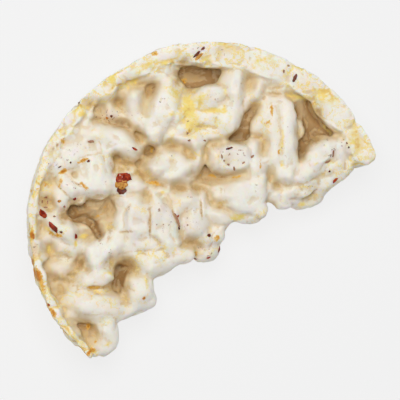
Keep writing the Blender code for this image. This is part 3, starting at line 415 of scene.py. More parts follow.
# Bits of hull; the place in this table decides how the edge of each is torn.
FLAKES = table(
    Flake,
    (-22.6, 11.8, 4, 2.5, 8, RED), (-23.2, 9.9, 3.4, 2.4, 8, AMBER), (-23.2, 8.5, 2.4, 2.2, 0, DARK),
    (-43.5, 2.3, 2.5, 1.5, -50, RED), (-40.9, -1.1, 3.4, 1.3, -48, RED), (-40.4, -1.8, 1.6, 0.7, -50, DARK),
    (-38.9, -2.4, 0.8, 0.5, -20, DARK), (-35.1, -3.4, 1.2, 0.9, 90, RED), (32.9, 11.4, 2, 0.7, 50, RED),
    (31.2, 13.6, 0.5, 0.5, 0, DARK), (32.1, 18.3, 1.8, 0.5, 84, BROWN), (30.6, 16.1, 1.7, 0.5, 28, BROWN),
    (21.9, 37.9, 2, 0.8, 70, DARK), (-2.2, 45.3, 1.1, 0.7, 40, DARK), (-3.8, 43.8, 2.4, 0.7, 45, DARK),
    (-3.3, 43.2, 2.6, 0.8, 45, AMBER), (-19.9, 19.2, 1.5, 0.6, -32, RED), (-31.1, 21, 1.5, 0.7, 4, BROWN),
    (-36.5, 15.5, 0.5, 0.5, 0, DARK), (-31.9, 15.9, 0.8, 0.6, 30, DARK), (-39.2, 14.4, 0.3, 0.9, -60, DARK),
    (-39.3, 5.6, 0.9, 0.7, 0, ORANGE), (-38, 4.2, 0.6, 0.5, 0, BROWN), (-35.3, 6.2, 0.9, 0.7, 30, RED),
    (-8.8, 0.8, 3.7, 0.7, -70, BROWN), (-8.6, 1.8, 0.9, 0.5, 60, RED), (-8.3, -1.3, 0.9, 0.5, -70, DARK),
    (-0.3, -3.1, 0.9, 0.9, -40, DARK), (2.7, -6.8, 1.6, 0.7, 55, RED), (-0.2, -8.9, 1.1, 0.5, 20, RED),
    (-3.4, -9.2, 1.1, 0.4, -10, RED), (-17.3, -19.4, 0.7, 0.5, 0, ORANGE),
    (-6.1, 23.3, 0.7, 0.4, 60, BROWN), (-5.6, 21.5, 0.5, 0.9, 90, BROWN),
    (-1.6, 21.5, 0.7, 0.4, -20, BROWN), (-46, -3.5, 1.5, 0.6, -86, ORANGE),
    (-42.1, -21, 0.7, 0.5, -60, RED), (-34.7, 31.2, 1.6, 0.4, 30, DARK), (-25.8, 27.7, 0.7, 0.6, 60, DARK),
    (-26.9, 27.3, 0.8, 0.7, 0, ORANGE), (4.6, 19.4, 1.8, 0.6, 20, DARK), (2.7, 17.2, 1.2, 0.4, -84, BROWN),
    (3.3, 16.2, 0.5, 0.5, 0, BROWN), (4.4, 15.2, 0.7, 0.5, -30, BROWN), (5.9, 14.2, 1.2, 0.5, -80, BROWN),
    (8.3, 15.7, 0.9, 0.4, 40, BROWN), (10.7, 17.3, 1.4, 0.5, 42, BROWN), (35.7, 21, 0.5, 0.4, -50, DARK),
    (36.2, 19.9, 0.5, 0.4, -50, DARK), (20.2, 41.1, 0.7, 0.5, -30, BROWN), (19, 39.6, 0.5, 0.9, 0, BROWN),
    (-42.9, 4, 1.3, 0.4, 0, BROWN), (-43.6, 5.5, 0.4, 0.9, 0, BROWN), (-42.2, 5.4, 0.4, 0.9, 0, BROWN),
    (-42.8, 6.6, 1, 0.4, 10, BROWN), (-40.6, 1.7, 0.7, 0.5, 0, BROWN),
)


@dataclass(frozen=True)
class Mould:
    """The round mould that the grains were pressed in, and the part of it that is left."""

    radius: float = 47.5
    thickness: float = 15.0
    softness: float = 0.12
    excess: float = 0.3
    shortfall_bearings: tuple[float, ...] = (20.0, 40.0, 58.0, 102.0, 116.0, 130.0, 142.0, 156.0,
                                             166.0, 180.0, 212.0, 230.0)
    shortfalls: tuple[float, ...] = (0.6, 0.5, 0.0, 0.0, 0.9, 1.5, 1.1, 0.2, 0.5, 0.0, 0.2, 0.8)
    arc_ends: tuple[float, float] = (20.8, 228.3)
    arc_points: int = 90

    def soft_limit(self, values: np.ndarray, limit: np.ndarray | float) -> np.ndarray:
        """Hold values below a limit, with a short rounded shoulder where they reach it."""
        return limit - self.softness * np.logaddexp(0.0, (limit - values) / self.softness)

    def wall(self, points: np.ndarray) -> np.ndarray:
        """Return the distance of the wall from the axis on the bearing of each point."""
        return self.radius - np.interp(bearings(points), self.shortfall_bearings, self.shortfalls)

    def to_wall(self, points: np.ndarray) -> np.ndarray:
        """Return how far inside the wall each point lies."""
        return self.wall(points) - np.hypot(points[:, 0], points[:, 1])

    def press(self, points: np.ndarray) -> np.ndarray:
        """Squash points into the mould: under its lid, over its floor and inside its wall.

        Args:
            points: One row of X, Y and Z for each point.

        Returns:
            The pressed points.
        """
        height = self.soft_limit(points[:, 2], self.thickness + self.excess)
        height = -self.soft_limit(-height, self.excess)
        radius = np.hypot(points[:, 0], points[:, 1])
        shrink = self.soft_limit(radius, self.wall(points) + self.excess) / np.maximum(radius, 1e-6)
        return np.column_stack((points[:, :2] * shrink[:, None], height))

    def trim(self, points: np.ndarray) -> np.ndarray:
        """Flatten what stands past the closed mould, so that pressed faces are true.

        Args:
            points: One row of X, Y and Z for each point.

        Returns:
            The trimmed points.
        """
        radius = np.hypot(points[:, 0], points[:, 1])
        shrink = np.minimum(1.0, self.radius / np.maximum(radius, 1e-6))
        height = np.clip(points[:, 2], 0.0, self.thickness)
        return np.column_stack((points[:, :2] * shrink[:, None], height))

    def outline(self) -> np.ndarray:
        """Return the piece's outline in plan: the broken side closed by the arc of the wall."""
        sweep = np.linspace(self.arc_ends[1], self.arc_ends[0], self.arc_points)
        return np.array(list(BROKEN_SIDE) + [polar(self.radius, bearing) for bearing in sweep])


def cake_axis(radius: float) -> tuple[float, float, float]:
    """Find the foot of the whole cake's axis from the solid's box, whose sides touch the wall."""
    low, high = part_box(CAD_NODE)
    return (low.x + radius * MM, high.y - radius * MM, 0.0)


AXIS = cake_axis(Mould().radius)


def bearings(points: np.ndarray) -> np.ndarray:
    """Return the bearing of each point from the cake's axis, from 0 to 360 degrees."""
    return np.degrees(np.arctan2(points[:, 1], points[:, 0])) % 360.0


def polar(radius: float, bearing: float) -> tuple[float, float]:
    """Return X and Y at a distance and a bearing from the cake's axis."""
    angle = math.radians(bearing)
    return (radius * math.cos(angle), radius * math.sin(angle))


def ramp(values: np.ndarray, start: float, width: float) -> np.ndarray:
    """Return 0 for values up to a start, rising evenly to 1 over a width."""
    return np.clip((values - start) / width, 0.0, 1.0)


def depth_inside(loop: np.ndarray, x: float, y: float) -> float:
    """Measure how far a point lies inside a closed outline.

    Args:
        loop: The outline's corners.
        x: The point's place along X.
        y: The point's place along Y.

    Returns:
        The distance to the outline, negative outside it.
    """
    edge = np.roll(loop, -1, axis=0) - loop
    to_point = np.array((x, y)) - loop
    along = np.clip((to_point * edge).sum(axis=1) / (edge * edge).sum(axis=1), 0.0, 1.0)
    gap = np.hypot(*(to_point - edge * along[:, None]).T).min()
    spans = (loop[:, 1] > y) != (loop[:, 1] + edge[:, 1] > y)
    rise = np.where(spans, edge[:, 1], 1.0)
    crossing = loop[:, 0] + edge[:, 0] * (y - loop[:, 1]) / rise
    inside = np.count_nonzero(spans & (x < crossing)) % 2 == 1
    return gap if inside else -gap


def link(name: str, mesh: bpy.types.Mesh) -> bpy.types.Object:
    """Put a mesh in the scene.

    Args:
        name: Name of the new object.
        mesh: The mesh it holds.

    Returns:
        The new object, at the origin.
    """
    made = bpy.data.objects.new(name, mesh)
    bpy.context.scene.collection.objects.link(made)
    return made


def mesh_of(shape: bmesh.types.BMesh, name: str) -> bpy.types.Mesh:
    """Turn a finished bmesh into a mesh.

    Args:
        shape: The bmesh; it is freed.
        name: Name of the mesh.

    Returns:
        The mesh.
    """
    mesh = bpy.data.meshes.new(name)
    shape.to_mesh(mesh)
    shape.free()
    return mesh


def evaluated(thing: bpy.types.Object) -> bpy.types.Mesh:
    """Return the mesh of an object with its modifiers applied."""
    graph = bpy.context.evaluated_depsgraph_get()
    return bpy.data.meshes.new_from_object(thing.evaluated_get(graph))


def read_rows(items: bpy.types.bpy_prop_collection, name: str) -> np.ndarray:
    """Read one vector of each of a mesh's items.

    Args:
        items: The items, such as its vertices.
        name: Name of the vector.

    Returns:
        One row of X, Y and Z for each.
    """
    flat = np.empty(len(items) * 3)
    items.foreach_get(name, flat)
    return flat.reshape(-1, 3)


def coordinates(mesh: bpy.types.Mesh) -> np.ndarray:
    """Return one row of X, Y and Z for each vertex."""
    return read_rows(mesh.vertices, "co")


def directions(mesh: bpy.types.Mesh) -> np.ndarray:
    """Return the normal of each vertex."""
    return read_rows(mesh.vertex_normals, "vector")


def move_vertices(mesh: bpy.types.Mesh, points: np.ndarray) -> None:
    """Give a mesh's vertices new places, one row of X, Y and Z for each."""
    mesh.vertices.foreach_set("co", points.ravel())
    mesh.update()


def paint_mask(mesh: bpy.types.Mesh, name: str, values: np.ndarray) -> None:
    """Store one number for each vertex under a name that a material can read."""
    layer = mesh.attributes.new(name, "FLOAT", "POINT")
    layer.data.foreach_set("value", values.astype(np.float32))


def edge_ends(mesh: bpy.types.Mesh) -> np.ndarray:
    """Read which vertices each edge joins.

    Args:
        mesh: The mesh to read.

    Returns:
        The numbers of two vertices for each edge.
    """
    ends = np.empty(len(mesh.edges) * 2, dtype=np.int64)
    mesh.edges.foreach_get("vertices", ends)
    return ends.reshape(-1, 2)


def neighbour_mean(mesh: bpy.types.Mesh, values: np.ndarray, rounds: int) -> np.ndarray:
    """Smooth numbers over a mesh by taking the mean with each vertex's neighbours.

    Args:
        mesh: The mesh that the numbers belong to.
        values: One number, or one row of numbers, for each vertex.
        rounds: How many times to smooth.

    Returns:
        The smoothed numbers.
    """
    ends = edge_ends(mesh)
    first, second = ends.T
    count = np.bincount(ends.ravel(), minlength=len(mesh.vertices)) + 1.0
    columns = values.reshape(len(values), -1).T
    for _ in range(rounds):
        columns = [
            (column + np.bincount(first, column[second], len(column))
             + np.bincount(second, column[first], len(column))) / count
            for column in columns
        ]
    return np.column_stack(columns).reshape(values.shape)


def tree_of(mesh: bpy.types.Mesh) -> BVHTree:
    """Build the tree that finds where rays meet a mesh.

    Args:
        mesh: The mesh to search.

    Returns:
        The tree.
    """
    shape = bmesh.new()
    shape.from_mesh(mesh)
    tree = BVHTree.FromBMesh(shape)
    shape.free()
    return tree


class GrainHeap:
    """Collects grains, each a swollen sphere, as loose objects that are joined at the end."""

    subdivisions = 4
    lump_pitch = 1.3
    lump_step = Vector((3.1, 1.7, 0.3))

    def __init__(self, mould: Mould) -> None:
        """Start with no grains.

        Args:
            mould: The mould that the grains are pressed in.
        """
        self.mould = mould
        self.pieces: list[bpy.types.Object] = []

    def keep(self, mesh: bmesh.types.BMesh, name: str) -> None:
        """Store a finished bmesh as one loose object of the heap; the bmesh is freed."""
        self.pieces.append(link(name, mesh_of(mesh, name)))

    def add(self, grain: Grain, height: float, fullness: float = 2.05, swell: float = 1.15,
            lumpiness: float = 0.10) -> None:
        """Add one grain, lumpy, turned to its heading and pressed.

        Args:
            grain: Its place and size.
            height: How thick it is.
            fullness: Roundness of its outline; 2 is an ellipsoid, more is boxier.
            swell: How much it grows past its table size.
            lumpiness: How uneven it is.
        """
        mesh = bmesh.new()
        verts = bmesh.ops.create_icosphere(mesh, subdivisions=self.subdivisions, radius=1.0)["verts"]
        points = np.array([vert.co for vert in verts])
        points /= ((np.abs(points) ** fullness).sum(axis=1) ** (1.0 / fullness))[:, None]
        seed = self.lump_step * (len(self.pieces) + 1)
        lumps = np.array([noise.noise(Vector(point) * self.lump_pitch + seed) for point in points])
        points *= (1.0 + 2.0 * lumpiness * lumps)[:, None]
        points *= np.array((grain.length * swell, grain.width * swell, height)) / 2
        angle = math.radians(grain.heading)
        turn = np.array(((math.cos(angle), math.sin(angle), 0.0),
                         (-math.sin(angle), math.cos(angle), 0.0), (0.0, 0.0, 1.0)))
        points = points @ turn + np.array((grain.x, grain.y, grain.top - height / 2))
        for vert, point in zip(verts, self.mould.press(points)):
            vert.co = Vector(point) * MM
        self.keep(mesh, "grain")

    def join(self) -> bpy.types.Object:
        """Join the loose objects into one.

        Returns:
            The joined object.
        """
        first = self.pieces[0]
        with bpy.context.temp_override(active_object=first, object=first,
                                       selected_editable_objects=self.pieces):
            bpy.ops.object.join()
        return first


@dataclass
class PressedGrains:
    """Lays out every grain of the piece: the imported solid's grains and some finer ones."""

    mould: Mould
    seed: int = 7
    height_share: float = 1.15
    height_limit: float = 9.5
    gap_height_share: float = 1.3
    floor_height: float = 6.0
    foot_fullness: float = 3.0
    rim_joints: tuple[float, ...] = (20.8, 34.5, 50.0, 62.0, 77.0, 90.4, 98.0, 109.0, 120.6, 132.7,
                                     139.7, 151.0, 161.0, 169.5, 177.5, 185.0, 195.0, 203.6,
                                     212.0, 221.0, 228.3)
    rim_depths: tuple[float, ...] = (6.4, 7.6, 6.8, 7.8, 7.4, 5.8, 5.4, 6.0, 5.4, 5.0, 4.6, 3.8,
                                     3.0, 2.8, 2.6, 2.6, 2.6, 2.8, 2.4, 2.4)
    rim_lap: float = 1.1
    rim_height: float = 6.5
    rim_crush: float = 1.0
    rim_rise: float = 0.9
    rim_fullness: float = 2.7
    rim_lumpiness: float = 0.08
    row_tops: tuple[float, float] = (10.6, 6.0)
    row_ends: tuple[float, float] = (25.5, 225.5)
    row_depths: tuple[float, float] = (5.0, 8.0)
    row_pitch: tuple[float, float] = (5.2, 7.4)
    row_height: float = 6.8
    row_crush: float = 0.5
    row_lap: float = 1.0
    row_fullness: float = 2.8
    line_spacing: float = 0.87
    scatter: float = 0.22
    lengths: tuple[float, float] = (1.15, 1.7)
    widths: tuple[float, float] = (0.95, 1.2)
    edge_share: float = 0.4
    pocket_share: float = 0.35
    core_levels: tuple[float, float] = (4.4, 5.8)
    core_inset: float = 5.5
    core_step: float = 2.5
    core_overlap: float = 1.3

    def heap(self) -> GrainHeap:
        """Build the whole heap of grains.

        Returns:
            The heap, not yet joined.
        """
        random = np.random.default_rng(self.seed)
        heap = GrainHeap(self.mould)
        for grain in TOP_GRAINS:
            heap.add(grain, min(grain.width * self.height_share, self.height_limit))
        self.add_rim(heap)
        self.add_wall_rows(heap, random)
        for layer in (MORTAR, MIDDLE, PACKING, UNDERSIDE):
            self.add_layer(heap, random, layer)
        heap.add(FOOT, FOOT_HEIGHT, fullness=self.foot_fullness)
        self.add_core(heap)
        for grain in GAP_GRAINS:
            heap.add(grain, grain.width * self.gap_height_share)
        for grain in POCKET_FLOORS:
            heap.add(grain, self.floor_height)
        return heap

    def add_rim(self, heap: GrainHeap) -> None:
        """Add the flat grains of the rim, joint by joint round the wall.

        Args:
            heap: The heap that takes them.
        """
        first, last = self.rim_joints[0], self.rim_joints[-1]
        for start, end, depth in zip(self.rim_joints, self.rim_joints[1:], self.rim_depths):
            lap_start = self.rim_lap if start > first else 0.0
            lap_end = self.rim_lap if end < last else 0.0
            along = math.radians(end - start) * self.mould.radius + lap_start + lap_end
            shift = math.degrees((lap_end - lap_start) / 2 / self.mould.radius)
            bearing = (start + end) / 2 + shift
            reach = depth + self.rim_crush
            x, y = polar(self.mould.radius + self.rim_crush - reach / 2, bearing)
            block = Grain(x, y, reach, along, bearing, self.mould.thickness + self.rim_rise)
            heap.add(block, self.rim_height, self.rim_fullness, 1.0, self.rim_lumpiness)

    def add_wall_rows(self, heap: GrainHeap, random: np.random.Generator) -> None:
        """Add the rows of grains against the wall under the rim.

        Args:
            heap: The heap that takes them.
            random: Source of their uneven sizes.
        """
        for top in self.row_tops:
            bearing = self.row_ends[0]
            while bearing < self.row_ends[1]:
                pitch = random.uniform(*self.row_pitch)
                depth = random.uniform(*self.row_depths)
                x, y = polar(self.mould.radius + self.row_crush - depth / 2, bearing)
                grain = Grain(x, y, depth, pitch + self.row_lap, bearing, top)
                heap.add(grain, self.row_height, self.row_fullness, 1.0)
                bearing += math.degrees(pitch / self.mould.radius)

    def add_layer(self, heap: GrainHeap, random: np.random.Generator, layer: Layer) -> None:
        """Scatter one layer of grains over the outline, clear of its edge and of the pockets.

        Args:
            heap: The heap that takes them.
            random: Source of their uneven places and sizes.
            layer: The layer's sizes.
        """
        loop = self.mould.outline()
        reach = self.mould.radius
        pitch = layer.pitch
        for row, row_y in enumerate(np.arange(-reach, reach, pitch * self.line_spacing)):
            for column_x in np.arange(-reach, reach, pitch) + (row % 2) * pitch / 2:
                x = column_x + random.uniform(-self.scatter, self.scatter) * pitch
                y = row_y + random.uniform(-self.scatter, self.scatter) * pitch
                length = random.uniform(*self.lengths) * pitch
                width = random.uniform(*self.widths) * pitch
                heading = random.uniform(0.0, 180.0)
                top = random.uniform(*layer.tops)
                if depth_inside(loop, x, y) < layer.margin + width * self.edge_share:
                    continue
                reach_in = width * self.pocket_share
                if any(pocket.ratio(x, y, reach_in) < 1.0 for pocket in layer.pockets):
                    continue
                heap.add(Grain(x, y, length, width, heading, top), layer.height, swell=1.0)

    def add_core(self, heap: GrainHeap) -> None:
        """Add a flat slab inside the outline, so that no pocket opens right through.

        Args:
            heap: The heap that takes it.
        """
        loop = self.mould.outline()
        reach = self.mould.radius
        low, high = self.core_levels
        side = self.core_step * self.core_overlap * MM
        size = Matrix.Diagonal((side, side, (high - low) * MM, 1.0))
        mesh = bmesh.new()
        for x in np.arange(-reach, reach, self.core_step):
            for y in np.arange(-reach, reach, self.core_step):
                if depth_inside(loop, x, y) > self.core_inset:
                    place = Matrix.Translation(Vector((x, y, (low + high) / 2)) * MM)
                    bmesh.ops.create_cube(mesh, size=1.0, matrix=place @ size)
        heap.keep(mesh, "core")


@dataclass(frozen=True)
class Texture:
    """Shader noise: size of its features in millimetres, fine detail, roughness and folding."""

    size: float
    detail: float = 3.0
    rough: float = 0.55
    bend: float = 0.0


@dataclass(frozen=True)
class Coat:
    """A colour laid on where a mask rises from low to high, and how much of it shows there."""

    colour: Colour
    low: float
    high: float
    share: float = 1.0


class Value:
    """A shader socket that takes part in plain Python sums."""

    def __init__(self, graph: "Graph", socket: bpy.types.NodeSocket) -> None:
        """Wrap an output socket of a graph."""
        self.graph = graph
        self.socket = socket

    def __add__(self, other: "Value | float") -> "Value":
        """Return self + other."""
        return self.graph.math("ADD", self, other)

    def __radd__(self, other: float) -> "Value":
        """Return other + self."""
        return self.graph.math("ADD", other, self)

    def __sub__(self, other: "Value | float") -> "Value":
        """Return self - other."""
        return self.graph.math("SUBTRACT", self, other)

    def __rsub__(self, other: float) -> "Value":
        """Return other - self."""
        return self.graph.math("SUBTRACT", other, self)

    def __mul__(self, other: "Value | float") -> "Value":
        """Return self * other."""
        return self.graph.math("MULTIPLY", self, other)

    def __abs__(self) -> "Value":
        """Return abs(self)."""
        return self.graph.math("ABSOLUTE", self, 0.0)


class Graph:
    """The node graph of one material, built from Python expressions."""

    def __init__(self, name: str) -> None:
        """Start a material with an empty graph.

        Args:
            name: The material's name.
        """
        self.material = bpy.data.materials.new(name)
        self.material.use_nodes = True
        self.tree = self.material.node_tree
        self.tree.nodes.clear()

    def node(self, kind: str, settings: dict, inputs: dict, output: int | str = 0) -> Value:
        """Add one node, with its settings made before its sockets are filled.

        Args:
            kind: The node's type.
            settings: Values of its properties, such as a Math node's operation.
            inputs: Values or links of its sockets, by name or number.
            output: The output socket that the result stands for.

        Returns:
            The chosen output.
        """
        made = self.tree.nodes.new(kind)
        for name, setting in settings.items():
            setattr(made, name, setting)
        for name, given in inputs.items():
            if isinstance(given, Value):
                self.tree.links.new(given.socket, made.inputs[name])
            else:
                made.inputs[name].default_value = given
        return Value(self, made.outputs[output])

    def math(self, operation: str, first: Value | float, second: Value | float) -> Value:
        """Add a Math node that works on two numbers."""
        return self.node("ShaderNodeMath", {"operation": operation}, {0: first, 1: second})

    def place(self) -> Value:
        """Return the place on the piece, in metres."""
        return self.node("ShaderNodeTexCoord", {}, {}, "Object")

    def mask(self, name: str) -> Value:
        """Return the numbers stored on the mesh under this name."""
        return self.node("ShaderNodeAttribute", {"attribute_name": name}, {}, "Fac")

    def noise(self, texture: Texture) -> Value:
        """Add smooth noise.

        Args:
            texture: Its size and detail.

        Returns:
            Numbers round a half.
        """
        inputs = {"Vector": self.place(), "Scale": 1.0 / (texture.size * MM), "Detail": texture.detail,
                  "Roughness": texture.rough, "Distortion": texture.bend}
        return self.node("ShaderNodeTexNoise", {}, inputs, "Fac")

    def step(self, value: Value, low: float, high: float) -> Value:
        """Turn numbers into a soft step, from 0 at low to 1 at high."""
        inputs = {"Value": value, "From Min": low, "From Max": high}
        return self.node("ShaderNodeMapRange", {"interpolation_type": "SMOOTHSTEP"}, inputs)

    def mix(self, share: Value | float, first: Value | Colour, second: Value | Colour) -> Value:
        """Mix two colours.

        Args:
            share: How much of the second colour shows.
            first: The first colour.
            second: The second colour.

        Returns:
            The mixed colour.
        """
        inputs = {0: share, 6: self.opaque(first), 7: self.opaque(second)}
        settings = {"data_type": "RGBA", "clamp_factor": True}
        return self.node("ShaderNodeMix", settings, inputs, 2)

    def coat(self, under: Value | Colour, mask: Value, coat: Coat, veil: Value | None = None) -> Value:
        """Lay a coat over a colour.

        Args:
            under: The colour under it.
            mask: Where the coat lies.
            coat: The coat.
            veil: A second mask that it keeps to.

        Returns:
            The coated colour.
        """
        share = self.step(mask, coat.low, coat.high) * coat.share
        return self.mix(share if veil is None else share * veil, under, coat.colour)

    def opaque(self, colour: Value | Colour) -> Value | tuple[float, ...]:
        """Give a plain colour its alpha; a linked one is passed on."""
        return colour if isinstance(colour, Value) else (*colour, 1.0)

    def bump(self, height: Value, depth: float, below: Value | None = None) -> Value:
        """Add relief to the shading.

        Args:
            height: The relief, from 0 to 1.
            depth: How high it is, in millimetres.
            below: Normals that it adds to.

        Returns:
            The normals.
        """
        inputs = {"Strength": 1.0, "Distance": depth * MM, "Height": height}
        if below is not None:
            inputs["Normal"] = below
        return self.node("ShaderNodeBump", {}, inputs)

    def surface(self, inputs: dict) -> bpy.types.Material:
        """Close the graph with a Principled shader.

        Args:
            inputs: Values or links of its sockets.

        Returns:
            The finished material.
        """
        shader = self.node("ShaderNodeBsdfPrincipled", {}, inputs)
        output = self.tree.nodes.new("ShaderNodeOutputMaterial")
        self.tree.links.new(shader.socket, output.inputs["Surface"])
        return self.material


CREAM: Colour = (0.87, 0.80, 0.68)
SAND: Colour = (0.75, 0.60, 0.37)
# the brown of the painted shade, deepest in hollows and valleys
SHADE_BROWN: Colour = (0.44, 0.26, 0.10)
LEMON: Colour = (0.91, 0.72, 0.21)
HONEY: Colour = (0.76, 0.46, 0.10)


@dataclass(frozen=True)
class PatchPaint:
    """How one kind of patch, a stain or the painted valley shade, is painted: how ragged it is, whether
    only near it, and its coats.
    """

    kind: PatchKind
    ragged: float
    gated: bool
    coats: tuple[Coat, ...]


PATCH_PAINTS = (
    PatchPaint(PatchKind.GREY, 0.3, False, (Coat((0.80, 0.735, 0.69), 0.2, 0.8, 0.5),)),
    # painted shade: tan to brown in the valleys between grains
    PatchPaint(PatchKind.TAN, 0.7, False, (Coat((0.60, 0.40, 0.17), 0.25, 0.9, 0.6),
                                           Coat(SHADE_BROWN, 0.75, 1.2, 0.65))),
    PatchPaint(PatchKind.YELLOW, 1.0, False, (Coat(LEMON, 0.15, 0.95, 0.95), Coat(HONEY, 0.95, 1.4, 0.6))),
    PatchPaint(PatchKind.CRACK, 0.7, True, (Coat(SAND, 0.20, 0.70, 0.6),
                                            Coat((0.50, 0.25, 0.07), 0.50, 1.10, 0.9))),
    PatchPaint(PatchKind.ORANGE, 1.0, True, (Coat((0.80, 0.47, 0.08), 0.18, 0.55, 0.95),
                                             Coat((0.58, 0.20, 0.015), 0.50, 1.0, 0.95))),
)


@dataclass(frozen=True)
class PuffedGrainFinish:
    """Dry ivory puffed grain: painted shade of tan and brown in the hollows and creases, stained yellow and
    toasted orange.
    """

    ivory: Colour = (0.92, 0.89, 0.82)
    mottle: Texture = Texture(2.2, 4.0, 0.6)
    fine: Texture = Texture(0.7, 3.0, 0.6)
    cloud: Texture = Texture(8.0, 2.0)
    cloud_coat: Coat = Coat(CREAM, 0.42, 0.64, 0.4)
    dapple: Texture = Texture(1.3, 4.0, 0.75)
    dapple_coat: Coat = Coat(CREAM, 0.48, 0.68, 0.5)
    fleck: Texture = Texture(0.9, 3.0, 0.7, 0.5)
    fleck_coat: Coat = Coat((0.86, 0.73, 0.42), 0.58, 0.68, 0.45)
    # painted shade: cream, sand, then brown as the skin is more shut in
    hollow_shade_coats: tuple[Coat, ...] = (Coat(CREAM, 0.00, 0.20), Coat(SAND, 0.12, 0.42),
                                      Coat(SHADE_BROWN, 0.38, 0.90))
    # painted shade in the creases; the line coat is partly orange-brown crease lines, partly painted shade
    crease_shade_coat: Coat = Coat(SAND, 0.2, 0.9, 0.45)
    crease_line_and_shade_coat: Coat = Coat((0.68, 0.45, 0.15), 0.70, 1.0, 0.5)
    vein: Texture = Texture(3.4, 3.0, 0.65)
    vein_share: float = 0.8
    rim_share: float = 0.14
    seam_coat: Coat = Coat(LEMON, 0.25, 0.85, 0.65)
    deep_seam_coat: Coat = Coat(HONEY, 0.70, 1.1, 0.7)
    patch_edge: float = 1.3
    dots: Texture = Texture(0.8, 1.0)
    dot_coat: Coat = Coat((0.26, 0.09, 0.035), 0.64, 0.71, 0.7)
    dot_patch: Texture = Texture(6.0, 2.0)
    blister: Texture = Texture(1.1, 5.0, 0.66)
    blister_height: float = 0.20
    grit: Texture = Texture(0.25, 2.0, 0.5)
    grit_height: float = 0.025

    def material(self) -> bpy.types.Material:
        """Build the finish.

        Returns:
            The material.
        """
        graph = Graph("puffed_grain")
        hollow_shade = graph.mask("hollow_shade_mask")
        mottle = graph.noise(self.mottle) - 0.5
        fine = graph.noise(self.fine) - 0.5
        cloud = graph.noise(self.cloud)
        colour = graph.coat(self.ivory, cloud, self.cloud_coat)
        colour = graph.coat(colour, graph.noise(self.dapple), self.dapple_coat)
        colour = graph.coat(colour, graph.noise(self.fleck), self.fleck_coat, graph.step(cloud, 0.40, 0.60))
        # painted shade: cream, sand and brown where the skin is shut in
        for coat in self.hollow_shade_coats:
            colour = graph.coat(colour, hollow_shade + mottle * 0.12, coat)
        # painted shade in the creases, with orange-brown lines along the deepest
        crease_shade = graph.mask("crease_shade_mask")
        colour = graph.coat(colour, crease_shade + mottle * 0.6, self.crease_shade_coat)
        colour = graph.coat(colour, crease_shade + fine * 0.8, self.crease_line_and_shade_coat, graph.step(cloud, 0.44, 0.6))
        colour = self.veined(graph, colour, hollow_shade, cloud, fine)
        colour = self.patched(graph, colour, (mottle + fine) * self.patch_edge)
        colour = self.specked(graph, colour, fine)
        blisters = graph.bump(graph.noise(self.blister), self.blister_height)
        return graph.surface({
            "Base Color": colour,
            "Roughness": 0.625 + fine * 0.25,
            "Normal": graph.bump(graph.noise(self.grit), self.grit_height, blisters),
            "Subsurface Weight": 0.5,
            "Subsurface Radius": (1.0, 0.62, 0.30),
            "Subsurface Scale": 0.0018,
            "Specular IOR Level": 0.3,
        })

    def veined(self, graph: Graph, colour: Value, hollow_shade: Value, cloud: Value, fine: Value) -> Value:
        """Draw thin wandering yellow veins, thickest along the rim, and colour its seams.

        Args:
            graph: The graph to build in.
            colour: The colour so far.
            hollow_shade: How shut in the skin is.
            cloud: Broad noise round a half.
            fine: Fine noise round 0.

        Returns:
            The veined colour.
        """
        off_vein = abs(graph.noise(self.vein) - 0.5) + fine * 0.06
        vein = 1.0 - graph.step(off_vein, 0.006, 0.035)
        amount = graph.step(cloud + graph.mask("rim_mask") * self.rim_share, 0.48, 0.66)
        open_air = 1.0 - graph.step(hollow_shade, 0.30, 0.50)
        colour = graph.mix(vein * amount * open_air * self.vein_share, colour, LEMON)
        seam = graph.mask("seam_mask")
        colour = graph.coat(colour, seam + fine * 0.9, self.seam_coat)
        return graph.coat(colour, seam + fine * 1.2, self.deep_seam_coat)

    def patched(self, graph: Graph, colour: Value, ragged: Value) -> Value:
        """Lay the stains, and the painted shade of the valleys, over the colour.

        Args:
            graph: The graph to build in.
            colour: The colour so far.
            ragged: Noise round 0 that tears their edges.

        Returns:
            The stained colour.
        """
        for paint in PATCH_PAINTS:
            mask = graph.mask(paint.kind.value)
            edge = ragged * paint.ragged
            if paint.gated:
                edge = edge * graph.step(mask, 0.02, 0.30)
            mask = mask + edge
            for coat in paint.coats:
                colour = graph.coat(colour, mask, coat)
        return colour

    def specked(self, graph: Graph, colour: Value, fine: Value) -> Value:
        """Scatter dark specks over the colour, thickest on the pressed spots.

        Args:
            graph: The graph to build in.
            colour: The colour so far.
            fine: Fine noise round 0.

        Returns:
            The specked colour.
        """
        patch = graph.mask(PatchKind.GREY.value) * 0.30 + graph.noise(self.dot_patch)
        spots = graph.noise(self.dots) + fine * 0.2
        return graph.coat(colour, spots, self.dot_coat, graph.step(patch, 0.58, 0.74))


@dataclass(frozen=True)
class HullFinish:
    """Thin glossy seed hull in one tone, streaked from a darker to a lighter colour."""

    tone: HullTone
    streaks: Texture = Texture(0.8, 3.0, 0.6)
    pits: Texture = Texture(0.35)
    pit_depth: float = 0.05

    def colours(self) -> tuple[Colour, Colour]:
        """Return the darker and the lighter colour of this tone."""
        return {
            HullTone.RED: ((0.19, 0.008, 0.002), (0.50, 0.060, 0.010)),
            HullTone.DARK: ((0.09, 0.016, 0.007), (0.22, 0.045, 0.018)),
            HullTone.BROWN: ((0.32, 0.14, 0.07), (0.48, 0.26, 0.15)),
            HullTone.AMBER: ((0.46, 0.19, 0.03), (0.72, 0.38, 0.08)),
            HullTone.ORANGE: ((0.45, 0.14, 0.015), (0.66, 0.30, 0.05)),
        }[self.tone]

    def material(self) -> bpy.types.Material:
        """Build the finish.

        Returns:
            The material.
        """
        graph = Graph(f"hull_{self.tone.value}")
        dark, light = self.colours()
        streaks = graph.noise(self.streaks)
        return graph.surface({
            "Base Color": graph.coat(dark, streaks, Coat(light, 0.35, 0.68)),
            "Roughness": 0.30 + streaks * 0.25,
            "Normal": graph.bump(graph.noise(self.pits), self.pit_depth),
            "Specular IOR Level": 0.3,
        })


